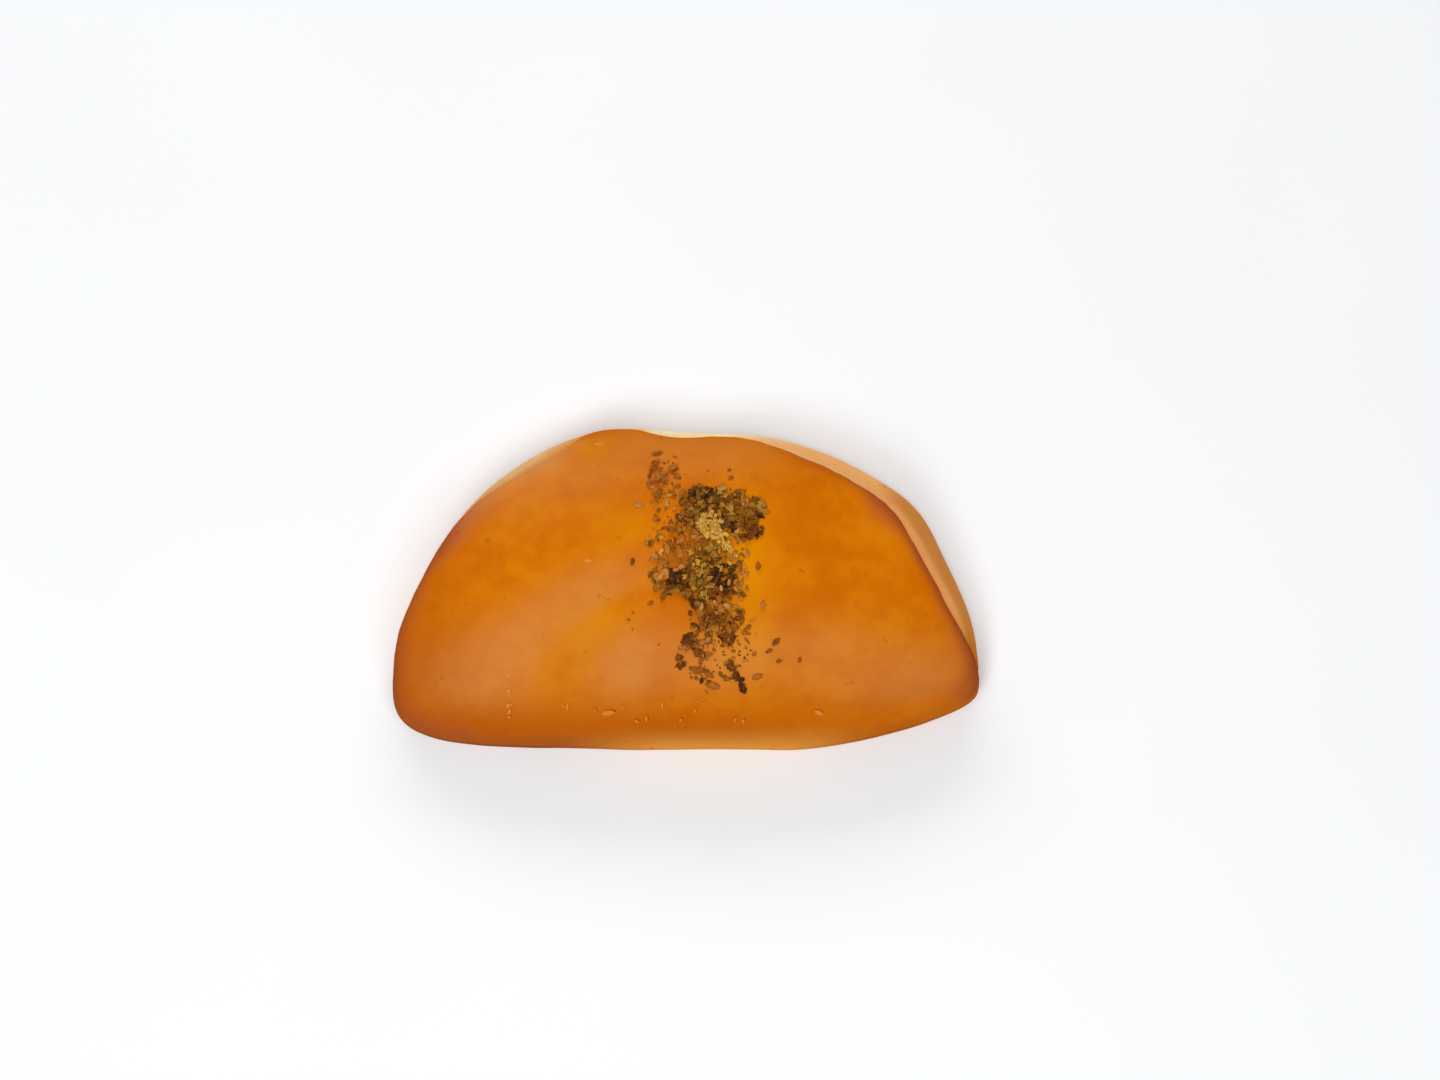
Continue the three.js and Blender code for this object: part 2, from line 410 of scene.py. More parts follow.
@dataclass(frozen=True)
class CrustFinish:
    """Egg-washed, baked dough: amber on top, russet at the rims, pale where the layers parted, with painted
    sheen, painted shade and a painted highlight in its colour.
    """

    amber: Colour = srgb(204, 104, 3)
    honey: Colour = srgb(217, 121, 6)
    gold: Colour = srgb(222, 136, 4)
    # Russet browning of the rims; at the left rim it is also painted shade, and its blue stands for a painted
    # grazing reflection.
    russet: Colour = srgb(174, 82, 42)
    # Painted shade for the sides that turn away from the light, made bluish as a painted grazing reflection.
    rim: Colour = srgb(134, 74, 48)
    freckle: Colour = srgb(150, 66, 4)
    # Browner baked crust, also painted shade on the fold's front and towards the back.
    baked: Colour = srgb(178, 84, 12)
    # Paler low front of the fold: less baked, and partly a painted bounce of light from the floor.
    foot: Colour = srgb(224, 152, 62)
    lip: Colour = srgb(208, 128, 50)
    tan: Colour = srgb(248, 180, 108)
    # Creamy dough, also used for a painted highlight along the upper layer's edge.
    cream: Colour = srgb(255, 233, 184)
    base: Colour = srgb(140, 74, 24)
    # Painted sheen: a lighter peach colour laid where the gloss catches the light.
    painted_sheen: Colour = srgb(208, 129, 62)
    # Olive dust under the thyme, darkened as painted shade in the gaps between the bits.
    dust: Colour = srgb(124, 74, 14)
    gloss: Colour = (1.0, 0.84, 0.4, 1.0)
    blotch_size: float = 22.0
    mottle_size: float = 5.0
    pore_size: float = 2.4
    grain_size: float = 0.9
    relief_depth: float = 0.12
    relief_strength: float = 0.3
    painted_sheen_share: float = 0.75
    freckle_share: float = 0.4
    gloss_share: float = 0.45
    gloss_roughness: float = 0.42
    matt_roughness: float = 0.8

    def material(self) -> bpy.types.Material:
        """Builds the crust's shader from the numbers that the dough's mesh holds.

        Returns:
            The material.
        """
        graph = Graph("egg_washed_crust_with_painted_light")
        where = graph.coordinates()
        blotch = graph.noise(where, self.blotch_size, 4, 0.6)
        mottle = graph.noise(where, self.mottle_size, 4, 0.6)
        fine = graph.noise(where, self.grain_size, 5, 0.65)
        pores = graph.noise(where, self.pore_size, 2)
        uneven = mottle - 0.5
        grain = fine - 0.5

        sheen = graph.attribute("sheen")
        sheen = sheen * (0.85 + 0.9 * (blotch - 0.5) + 0.5 * uneven)
        colour = graph.blend(self.amber, self.honey, graph.rise(blotch + 0.7 * uneven, 0.3, 0.7))
        gold = graph.attribute("gold")
        colour = graph.blend(colour, self.gold, gold + 0.5 * gold * uneven)
        # Painted sheen: the colour turns lighter where the highlights fall; the real gloss is mixed in below.
        colour = graph.blend(colour, self.painted_sheen, self.painted_sheen_share * sheen)
        # Browner baked crust, partly painted shade on the fold's front and at the back.
        colour = graph.blend(colour, self.baked, graph.attribute("baked"))
        # Russet rims, partly painted shade and painted grazing reflection at the left.
        russet = graph.attribute("russet") + 0.7 * uneven
        colour = graph.blend(colour, self.russet, graph.rise(russet, 0.1, 1))
        # Painted shade: darker where the crust turns down to its sides.
        colour = graph.blend(colour, self.rim, graph.attribute("rim"))
        # Paler foot, partly a painted floor bounce.
        colour = graph.blend(colour, self.foot, graph.attribute("foot"))
        colour = graph.blend(colour, self.lip, graph.attribute("lip"))
        # Creamy dough, with the painted highlight along the upper layer's edge.
        dough = graph.blend(self.tan, self.cream, graph.attribute("cream"))
        pale = graph.attribute("pale") * (1 + 0.6 * uneven)
        colour = graph.blend(colour, dough, pale)
        colour = graph.blend(colour, self.base, graph.attribute("base"))
        freckles = graph.rise(pores, 0.66, 0.76) * graph.rise(mottle, 0.45, 0.6)
        colour = graph.blend(colour, self.freckle, self.freckle_share * freckles)
        # Dust under the thyme, partly painted shade between the bits.
        dust = graph.attribute("dust") + 0.7 * grain
        colour = graph.blend(colour, self.dust, graph.rise(dust, 0.1, 1.1))

        normal = graph.bump(0.6 * fine + 0.4 * pores, self.relief_depth, self.relief_strength)
        matt = graph.surface(
            Base_Color=colour,
            Roughness=self.matt_roughness,
            Normal=normal,
            Specular_IOR_Level=0.0,
        )
        shiny = graph.surface(
            Base_Color=colour,
            Roughness=self.gloss_roughness + 0.12 * uneven + 0.1 * grain,
            Normal=normal,
            Specular_IOR_Level=0.5,
            Specular_Tint=self.gloss,
        )
        return graph.finish(graph.mixed(matt, shiny, self.gloss_share * sheen))


@dataclass
class Skin:
    """The dough's surface as a grid: slices round the outline, each from the base's middle to the crown."""

    points: np.ndarray
    inset: np.ndarray
    knot: np.ndarray
    open: np.ndarray
    lip: np.ndarray

    def normals(self) -> np.ndarray:
        """Works out the directions out of the surface.

        Returns:
            Vectors of length 1 at the grid's points.
        """
        round_it = np.roll(self.points, -1, 0) - np.roll(self.points, 1, 0)
        across = np.gradient(self.points, axis=1)
        normals = np.cross(round_it, across)
        return normals / np.maximum(np.linalg.norm(normals, axis=-1, keepdims=True), TINY)


@dataclass(frozen=True)
class BrowningAndPaintedLight:
    """Where the oven, the egg wash and the parting of the layers left their tints, and where sheen, shade and
    a highlight are painted into the colour.

    A span with knot in its name counts the knots across the seam, from the base up. One with inset is the
    distance in from the outline, one with out the distance out past the upper layer's edge, and one with
    left, right, front, back or up the distance that way from the origin, all in millimetres. Steep and level
    are shares of facing straight up.
    """

    golden: Coats = (
        (Oval(14, 1, 6, 15, 0), 1.0),
        (Oval(-13, 9, 9, 6, 10), 0.5),
        (Oval(-23, -16, 11, 7, 20), 0.7),
        (Oval(12, -18, 8, 7, 0), 1.0),
        (Oval(-22, 31, 6, 3.5, 20), 0.8),
    )
    scorched: Coats = (
        (Oval(-47.5, 15, 9, 6, 40), 0.5),
        (Oval(-56, 7, 8, 5, 55), 0.5),
        (Oval(46, 13, 5, 4, -50), 0.5),
    )
    # Where the egg wash is glossy, and where a painted sheen lightens the colour.
    washed_and_painted_sheen_areas: Coats = (
        (Oval(-52, -28, 17, 10, 0), 0.8),
        (Oval(-38, -17, 22, 7, 27), 0.8),
        (Oval(-20, -5, 14, 5, 22), 0.6),
        (Oval(-12, -23, 11, 9, 40), 0.9),
        (Oval(6, -23, 14, 7, 0), 0.6),
        (Oval(55, -28, 19, 9, 5), 0.9),
        (Oval(30, -20, 16, 8, 0), 0.5),
        (Oval(-30, 27, 28, 14, 14), 0.5),
        (Oval(6, 30, 18, 8, 0), 0.4),
    )
    # Where neither gloss nor painted sheen goes.
    unglossed_unpainted_areas: Coats = (
        (Oval(-15, -10.6, 9, 3.2, 28), 0.9),
        (Oval(-30, -25, 4, 8, 0), 0.4),
        (Oval(-22, 31, 6, 3.5, 20), 0.7),
        (Oval(15, -37, 45, 6, 0), 0.9),
    )
    # Where dust lies under the thyme, also the painted shade between the bits.
    dust_and_shade_areas: Coats = (
        (Oval(8.3, 13.8, 8, 3.8, -10), 1.0),
        (Oval(-2.5, 2, 7, 3.4, 95), 0.6),
        (Oval(4.6, 1, 5, 7, 0), 1.0),
        (Oval(5, -5, 6.5, 3.5, 0), 1.0),
        (Oval(7.4, -12.5, 4.8, 3.2, 0), 1.0),
    )
    base_knot: Span = Span(0.3, 1.4)
    side_knot: Span = Span(1.0, 2.2)
    crease_knot: Span = Span(4.9, 5.3)
    wall_knot: Span = Span(5.7, 6.35)
    edge_knot: Span = Span(5.6, 6.3)
    edge_end_knot: Span = Span(6.6, 9.2)
    left_lip_share: float = 0.4
    left_lip_left: Span = Span(16, 26)
    soft_edge_share: float = 0.4
    soft_edge_left: Span = Span(20, 34)
    soft_edge_end_left: Span = Span(46, 58)
    crescent_share: float = 0.8
    crescent_out: Span = Span(2.4, 4.6)
    crescent_right: Span = Span(45, 53)
    cream_right: Span = Span(-14, -6)
    cream_end_right: Span = Span(4, 22)
    cream_lean: float = 1.5
    left_cream_share: float = 0.55
    left_cream_out: Span = Span(2, 5)
    left_cream_left: Span = Span(18, 28)
    # A painted highlight along the upper layer's edge, on the lip.
    painted_highlight_share: float = 0.75
    painted_highlight_out: float = 0.8
    painted_highlight_spread: float = 1.7
    painted_highlight_right: Span = Span(6, 18)
    painted_highlight_end_right: Span = Span(40, 52)
    right_rim_share: float = 0.8
    right_rim_steps: tuple[tuple[float, Span], ...] = ((0.6, Span(14, 30)), (0.4, Span(34, 52)))
    right_rim_front: Span = Span(26, 34)
    # The russet at the left rim is partly painted shade of the turned-away edge.
    left_rim_share: float = 0.58
    left_rim_left: Span = Span(34, 62)
    left_rim_inset: Span = Span(1, 9)
    # How far a side turns away from facing up, which sets its painted shade.
    steep: Span = Span(0.05, 0.6)
    steep_share: float = 0.38
    steep_left_share: float = 0.37
    steep_left: Span = Span(0, 40)
    # Where the pale foot sits low on the fold, partly a painted floor bounce.
    foot_up: Span = Span(6, 17)
    foot_right: Span = Span(-32, -2)
    foot_end_right: Span = Span(22, 46)
    # Browner low on the fold's front, at the left end and towards the back; at the front and the back this is
    # partly painted shade.
    fold_share: float = 0.75
    fold_front: Span = Span(24, 36)
    fold_up: Span = Span(14, 25)
    fold_less: float = 0.35
    fold_less_right: Span = Span(5, 45)
    end_share: float = 0.6
    end_left: Span = Span(38, 70)
    rear_share: float = 0.2
    rear_back: Span = Span(8, 30)
    level: Span = Span(0.3, 0.85)
    level_up: Span = Span(9, 19)

    def _edge(self, skin: Skin) -> np.ndarray:
        """Where the upper layer's edge turns over towards the top."""
        return self.edge_knot.rise(skin.knot) * self.edge_end_knot.fall(skin.knot)

    def _seam_tints(self, skin: Skin) -> dict[str, np.ndarray]:
        """Works out the tints of the parted layers.

        Args:
            skin: The surface.

        Returns:
            Shares, from 0 to about 1, of the pale dough, its creamy parts with a painted highlight along the
            upper layer's edge, and the lip.
        """
        x = skin.points[..., 0]
        seam = skin.open[:, None]
        out = skin.lip[:, None] - skin.inset
        lower = self.crease_knot.fall(skin.knot)
        wall = (1 - lower) * self.wall_knot.fall(skin.knot)
        crescent = self.crescent_share * self.crescent_out.rise(out) * self.crescent_right.rise(x)
        parted = seam * self.side_knot.rise(skin.knot) * (lower * (1 - crescent) + wall)
        soft_edge = self.soft_edge_share * seam * self._edge(skin)
        soft_edge = soft_edge * self.soft_edge_left.rise(-x) * self.soft_edge_end_left.fall(-x)
        middle = self.cream_right.rise(x) * self.cream_end_right.fall(x - self.cream_lean * out)
        left = self.left_cream_share * self.left_cream_out.rise(out) * self.left_cream_left.rise(-x)
        # Painted highlight along the upper layer's edge.
        painted_highlight_line = self.painted_highlight_share * bell(out - self.painted_highlight_out, self.painted_highlight_spread)
        painted_highlight_line = painted_highlight_line * self.painted_highlight_right.rise(x) * self.painted_highlight_end_right.fall(x)
        return {
            "pale": parted * (1 - self.left_lip_share * self.left_lip_left.rise(-x)) + soft_edge,
            "cream": np.maximum(np.maximum(middle, left), painted_highlight_line),
            "lip": seam * lower,
        }

    def _oven_tints_and_painted_shade(self, skin: Skin, upright: np.ndarray) -> dict[str, np.ndarray]:
        """Works out where the oven browned the crust, where it stayed light, and where shade and floor bounce
        are painted in.

        Args:
            skin: The surface.
            upright: How far it faces up.

        Returns:
            Shares from 0 to 1 of the russet rims, partly painted shade at the left, the painted shade on the
            sides, the light foot with painted floor bounce, the baked parts with painted shade, and the base.
        """
        x, y, z = np.moveaxis(skin.points, -1, 0)
        seam = skin.open[:, None]
        right_rim = self._edge(skin) * sum(share * span.rise(x) for share, span in self.right_rim_steps)
        right_rim = right_rim * self.right_rim_front.fall(-y)
        # Russet at the left rim, partly painted shade.
        left_rim = self.left_rim_left.rise(-x) * self.left_rim_inset.fall(skin.inset)
        russet = self.right_rim_share * right_rim + self.left_rim_share * left_rim + laid(self.scorched, x, y)
        steep = self.steep_share + self.steep_left_share * self.steep_left.rise(-x)
        fold = self.fold_front.rise(-y) * self.fold_up.fall(z)
        fold = fold * (self.fold_share - self.fold_less * self.fold_less_right.rise(x))
        left_end = self.end_share * self.end_left.rise(-x)
        # Pale foot, partly a painted floor bounce.
        foot = (1 - seam) * self.foot_up.fall(z)
        return {
            "russet": np.clip(russet, 0, 1) * (1 - seam * self.crease_knot.fall(skin.knot)),
            # Painted shade on the sides that turn away from facing up.
            "rim": self.side_knot.rise(skin.knot) * self.steep.fall(upright) * (1 - seam) * steep,
            "foot": foot * self.foot_right.rise(x) * self.foot_end_right.fall(x),
            # Baked crust, with painted shade at the front and towards the back.
            "baked": np.maximum(fold, left_end) + self.rear_share * self.rear_back.rise(y),
            "base": np.broadcast_to(self.base_knot.fall(skin.knot), x.shape),
        }

    def tints(self, skin: Skin) -> dict[str, np.ndarray]:
        """Works out where the crust is paler, browner or glossier, and where sheen, shade and a highlight are
        painted in.

        Args:
            skin: The surface.

        Returns:
            Each tint's share over the surface, from 0 to about 1.
        """
        x, y, z = np.moveaxis(skin.points, -1, 0)
        upright = skin.normals()[..., 2]
        facing = self.level.rise(upright) * self.level_up.rise(z)
        return {
            **self._seam_tints(skin),
            **self._oven_tints_and_painted_shade(skin, upright),
            # Gloss, with the painted sheen in the colour.
            "sheen": facing * laid(self.washed_and_painted_sheen_areas, x, y) * (1 - laid(self.unglossed_unpainted_areas, x, y)),
            # Dust and painted shade under the thyme.
            "dust": facing * laid(self.dust_and_shade_areas, x, y),
            "gold": facing * laid(self.golden, x, y),
        }


@dataclass
class Dough:
    """The round of dough folded over to a half-moon, with its two layers parting round the back.

    Rows of uneven hold a bearing and a spread in degrees and how far the outline goes out there. Rows of
    lip_swells hold a place along the length, a spread and how far the lip goes out there.
    """

    length: float = 140.4
    height: float = 29.0
    layer: float = 8.0
    front_reach: float = 19.4
    back_reach: float = 61.6
    widest_y: float = -20.6
    back_bluntness: tuple[float, float] = (2.02, 2.12)
    front_bluntness: tuple[float, float] = (4.2, 7.8)
    slant_from: float = 24.0
    slant_rise: float = 10.4
    slant_power: float = 1.7
    uneven: tuple[tuple[float, float, float], ...] = (
        (23.5, 12, -1.3),
        (34.5, 9, 1.4),
        (63, 11.5, -0.6),
        (86.5, 13.5, -1.85),
        (114, 14, 1.2),
        (131, 13.5, 0.55),
        (161, 15.5, -2.45),
        (212, 15, -0.55),
        (341, 8, -0.6),
    )
    crest_y: float = 4.0
    crest_reach: float = 36.0
    front_fall: float = 9.0
    back_fall: float = 15.5
    end_reach: float = 66.0
    end_fall: float = 7.0
    end_power: float = 2.3
    fold_middle: float = 0.42
    fold_roll: float = 17.0
    fold_bluntness: float = 2.2
    base_inset: float = 7.0
    run_on: float = 5.0
    shut_y: float = -27.0
    open_y: float = -4.5
    lip: float = 3.0
    lip_softness: float = 0.5
    lip_round: float = 0.45
    lip_shoulder: float = 0.92
    crease: float = 2.2
    crease_rise: float = 1.06
    lip_swells: tuple[tuple[float, float, float], ...] = (
        (59.5, 18, 4.15),
        (34, 16.5, 2.6),
        (-4, 10, 1.5),
        (-12, 7, -0.75),
        (-22, 9, -1.25),
        (-40.5, 11.5, 3.0),
        (-68, 10, -2.2),
    )
    relief: Coats = (
        (Oval(-15, -10.6, 9.5, 3.2, 28), -0.7),
        (Oval(-27.5, -3, 15, 6, 12), 0.4),
        (Oval(-34, -20, 18, 8, 4), 0.5),
        (Oval(36, -18, 20, 8, -6), 0.5),
        (Oval(4.5, 4, 15, 12, 80), -0.4),
        (Oval(-22, 31, 6, 3.5, 20), -0.4),
        (Oval(3, 37, 9, 6, 0), -0.6),
    )
    crown: tuple[float, float] = (0.0, -4.0)
    corner_softness: float = 0.035
    slices: int = 620
    base_rings: int = 5
    side_rings: int = 84
    dome_rings: int = 52
    browning_and_painted_light: BrowningAndPaintedLight = field(default_factory=BrowningAndPaintedLight)
    finish: CrustFinish = field(default_factory=CrustFinish)

    OVERSAMPLING = 12
    SEAM_SPAN = (2.0, 7.5)
    SEAM_RINGS = (0.14, 0.76)
    RIM_KNOT = 6
    TOP_KNOT = 8
    # Angles round the fold, below and above its middle
    UNDER_FOLD = (90, 60, 35, 18, 9, 0)
    OVER_FOLD = (12, 32, 56, 90)
    # Knots of the lower layer: shares of the base's inset and of the layer's height
    UNDERSIDE = ((1.0, 0.0), (0.24, 0.14), (0.0, 0.52))
    # Knots of the upper layer: distances in from its edge and shares of the way up to the dome
    UPPER_LAYER = ((-0.1, 0.36), (0.9, 0.72), (3.4, 0.93), (7.0, 1.0), (11.0, 1.0))
    # Waves of the surface: height, wavelength and offset
    LIP_WAVES = ((0.15, 6.0, 0.0),)
    SWELL_WAVES = ((0.2, 19.0, 0.0), (0.05, 6.0, 3.7))
    LUMP_WAVES = ((0.14, 5.0, 9.1), (0.06, 1.9, 5.3))
    SWOLLEN_KNOT = Span(0.6, 2.2)
    LUMPY_KNOT = Span(1.5, 3)
    LUMPY_END_KNOT = Span(7, 8.5)

    def outline(self) -> np.ndarray:
        """Plan outline at the pastry's widest: round at the back, with a blunt fold across the front.

        Returns:
            Evenly spaced points, anticlockwise from +X, (slices, 2).
        """
        bearing = np.linspace(0, 2 * np.pi, self.OVERSAMPLING * self.slices + 1)
        cos = np.cos(bearing)
        sin = np.sin(bearing)
        reach = np.where(sin < 0, self.front_reach, self.back_reach)
        front = np.where(cos < 0, *self.front_bluntness)
        back = np.where(cos < 0, *self.back_bluntness)
        power = np.where(sin < 0, front, back)
        stretch = (np.abs(cos) / (self.length / 2)) ** power + (np.abs(sin) / reach) ** power
        radius = stretch ** (-1 / power)
        for at, spread, out in self.uneven:
            radius = radius + out * bell(np.degrees(bearing) - at, spread)
        x = radius * cos
        y = radius * sin
        slant = np.maximum((x - self.slant_from) / (self.length / 2 - self.slant_from), 0) ** self.slant_power
        y = self.widest_y + y + np.maximum(-y / self.front_reach, 0) * self.slant_rise * slant
        gone = np.concatenate([[0], np.cumsum(np.hypot(np.diff(x), np.diff(y)))])
        even = np.arange(self.slices) / self.slices * gone[-1]
        return np.stack([np.interp(even, gone, x), np.interp(even, gone, y)], -1)

    def dome(self, x: np.ndarray, y: np.ndarray) -> np.ndarray:
        """Height of the domed top over places on the plan.

        Args:
            x: Places along the length.
            y: Places across it.

        Returns:
            The heights there.
        """
        off = (y - self.crest_y) / self.crest_reach
        fall = np.where(off < 0, self.front_fall, self.back_fall) * off**2
        return self.height - fall - self.end_fall * (np.abs(x) / self.end_reach) ** self.end_power

    def dents(self, x: np.ndarray, y: np.ndarray) -> np.ndarray:
        """Soft dents and swells of the top at places on the plan."""
        return sum(height * oval.hill(x, y) for oval, height in self.relief)

    def top(self, x: np.ndarray, y: np.ndarray) -> np.ndarray:
        """Height of the top, with its dents, over places on the plan."""
        return self.dome(x, y) + self.dents(x, y)

    def lip_width(self, x: np.ndarray) -> np.ndarray:
        """How far the lower layer's lip stands out past the upper one, negative where it is tucked in."""
        return self.lip + sum(size * bell(x - at, spread) for at, spread, size in self.lip_swells)

    def fold_knots(self) -> np.ndarray:
        """Knots across the rounded fold.

        Returns:
            Distances in from the outline and shares of the dome's height there, (knots, 2).
        """
        power = 2 / self.fold_bluntness
        under = np.radians(self.UNDER_FOLD)
        over = np.radians(self.OVER_FOLD)
        low = np.stack([self.base_inset * (1 - np.cos(under)), self.fold_middle * (1 - np.sin(under))], -1)
        inset = self.fold_roll * (1 - np.maximum(np.cos(over), 0) ** power)
        high = np.stack([inset, lerp(self.fold_middle, 1, np.sin(over) ** power)], -1)
        return np.concatenate([low, high, [[self.fold_roll + self.run_on, 1]]])

    def seam_knots(self, lip: np.ndarray) -> list[tuple[np.ndarray, float, float]]:
        """Knots across the open seam: the lower layer's lip, the crease and the upper layer's edge.

        Args:
            lip: How far the lip stands out, for each slice.

        Returns:
            For each knot its distance in from the outline, a height, and its share of the way from that
            height to the dome.
        """
        crease = self.crease_rise * self.layer
        flap = (lip + np.hypot(lip, self.lip_softness)) / 2
        edge = flap - lip
        return [
            *((edge + under * self.base_inset, up * self.layer, 0) for under, up in self.UNDERSIDE),
            (lerp(edge, flap, self.lip_round), self.lip_shoulder * self.layer, 0),
            (np.maximum(edge, flap), self.layer, 0),
            (flap + self.crease, crease, 0),
            *((flap + past, crease, share) for past, share in self.UPPER_LAYER),
        ]

    def skin(self) -> Skin:
        """Works out the dough's surface, slice by slice from the outline in to the crown.

        Returns:
            The surface.
        """
        edge = self.outline()
        reach = round(self.corner_softness * self.slices)
        tangent = unit(np.roll(edge, -reach, 0) - np.roll(edge, reach, 0))
        inward = np.array(self.crown) - edge
        square = (tangent[:, 0] * inward[:, 1] - tangent[:, 1] * inward[:, 0])[:, None]
        inward = inward / square
        run = square[:, 0]
        opening = smoothstep(edge[:, 1], self.shut_y, self.open_y)
        lip = self.lip_width(edge[:, 0]) + ripples(np.insert(edge, 2, 0, 1), self.LIP_WAVES)

        fold = self.fold_knots()
        seam = self.seam_knots(lip)
        insets = np.stack([lerp(shut[0], parted[0], opening) for shut, parted in zip(fold, seam)])
        insets = insets - insets.min(0)
        knots = []
        for inset, (_, fold_share), (_, low, share) in zip(insets, fold, seam):
            place = edge + inward * inset[:, None]
            top = self.dome(place[:, 0], place[:, 1])
            knots.append(np.stack([inset, lerp(fold_share * top, lerp(low, top, share), opening)], -1))
        knots = np.stack(knots, 1)

        last = knots.shape[1] - 2
        rings = np.linspace(0, 1, self.side_rings)
        knot = np.interp(rings, [0, *self.SEAM_RINGS, 1], [0, *self.SEAM_SPAN, last])
        side = spline(knots, knot)
        inner = np.linspace(0, 1, self.dome_rings + 1)[1:]
        outer = np.linspace(0, 1, self.base_rings, endpoint=False)
        inset = np.concatenate(
            [
                lerp(run[:, None], self.base_inset, outer),
                side[..., 0],
                lerp(knots[:, last, :1], run[:, None], inner),
            ],
            axis=1,
        )
        plan = edge[:, None] + inward[:, None] * inset[..., None]
        top = self.dome(plan[..., 0], plan[..., 1])
        knot = np.concatenate([outer - 1, knot, last + inner])
        height = np.concatenate([0 * top[:, : self.base_rings], side[..., 1], top[:, -self.dome_rings :]], 1)
        height = lerp(height, top, smoothstep(knot, self.RIM_KNOT, last))
        dents = self.dents(plan[..., 0], plan[..., 1])
        height = height + smoothstep(knot, self.RIM_KNOT, self.TOP_KNOT) * dents
        return Skin(np.concatenate([plan, height[..., None]], -1), inset, knot, opening, lip)

    def swell(self, points: np.ndarray) -> np.ndarray:
        """How far the surface of hand-made dough stands out at points near it."""
        return ripples(points, self.SWELL_WAVES)

    def roughen(self, skin: Skin) -> None:
        """Gives the surface the unevenness of hand-made dough.

        Args:
            skin: The surface, which is changed in place.
        """
        free = self.SWOLLEN_KNOT.rise(skin.knot)
        seam = skin.open[:, None] * self.LUMPY_KNOT.rise(skin.knot) * self.LUMPY_END_KNOT.fall(skin.knot)
        lumps = ripples(skin.points, self.LUMP_WAVES)
        skin.points += skin.normals() * (free * self.swell(skin.points) + seam * lumps)[..., None]
        skin.points[..., 2] = np.maximum(skin.points[..., 2], 0)

    def build(self) -> bpy.types.Object:
        """Makes the dough's mesh and dresses it.

        Returns:
            The piece.
        """
        skin = self.skin()
        self.roughen(skin)
        tints = self.browning_and_painted_light.tints(skin)
        slices, rings = skin.inset.shape
        inner = rings - 2

        def flat(values: np.ndarray) -> np.ndarray:
            """Lists a grid's values ring by ring.

            Args:
                values: The values, (slices, rings, ...).

            Returns:
                The values in the order of the mesh's points, with one for each pole.
            """
            rows = np.moveaxis(values, 1, 0)
            shape = (-1, *values.shape[2:])
            return np.concatenate([rows[0, :1], rows[1:-1].reshape(shape), rows[-1, :1]])

        def at(ring: int, turn: int) -> int:
            """Number of the point where a ring meets a slice."""
            return 1 + ring * slices + turn % slices

        faces: Faces = []
        for turn in range(slices):
            faces.append((0, at(0, turn + 1), at(0, turn)))
            faces.append((at(inner - 1, turn), at(inner - 1, turn + 1), 1 + inner * slices))
            for ring in range(inner - 1):
                faces.append((at(ring, turn), at(ring, turn + 1), at(ring + 1, turn + 1), at(ring + 1, turn)))
        numbers = {name: flat(values) for name, values in tints.items()}
        return make_piece("dough", flat(skin.points), faces, numbers, self.finish.material())


class Form(Enum):
    """The shapes that strewn bits come in."""

    LEAF = "curled leaf"
    SEED = "drop-shaped seed"
    STEM = "bent stalk"
    CRUMB = "knobbly crumb"
    SCALE = "flat scale"


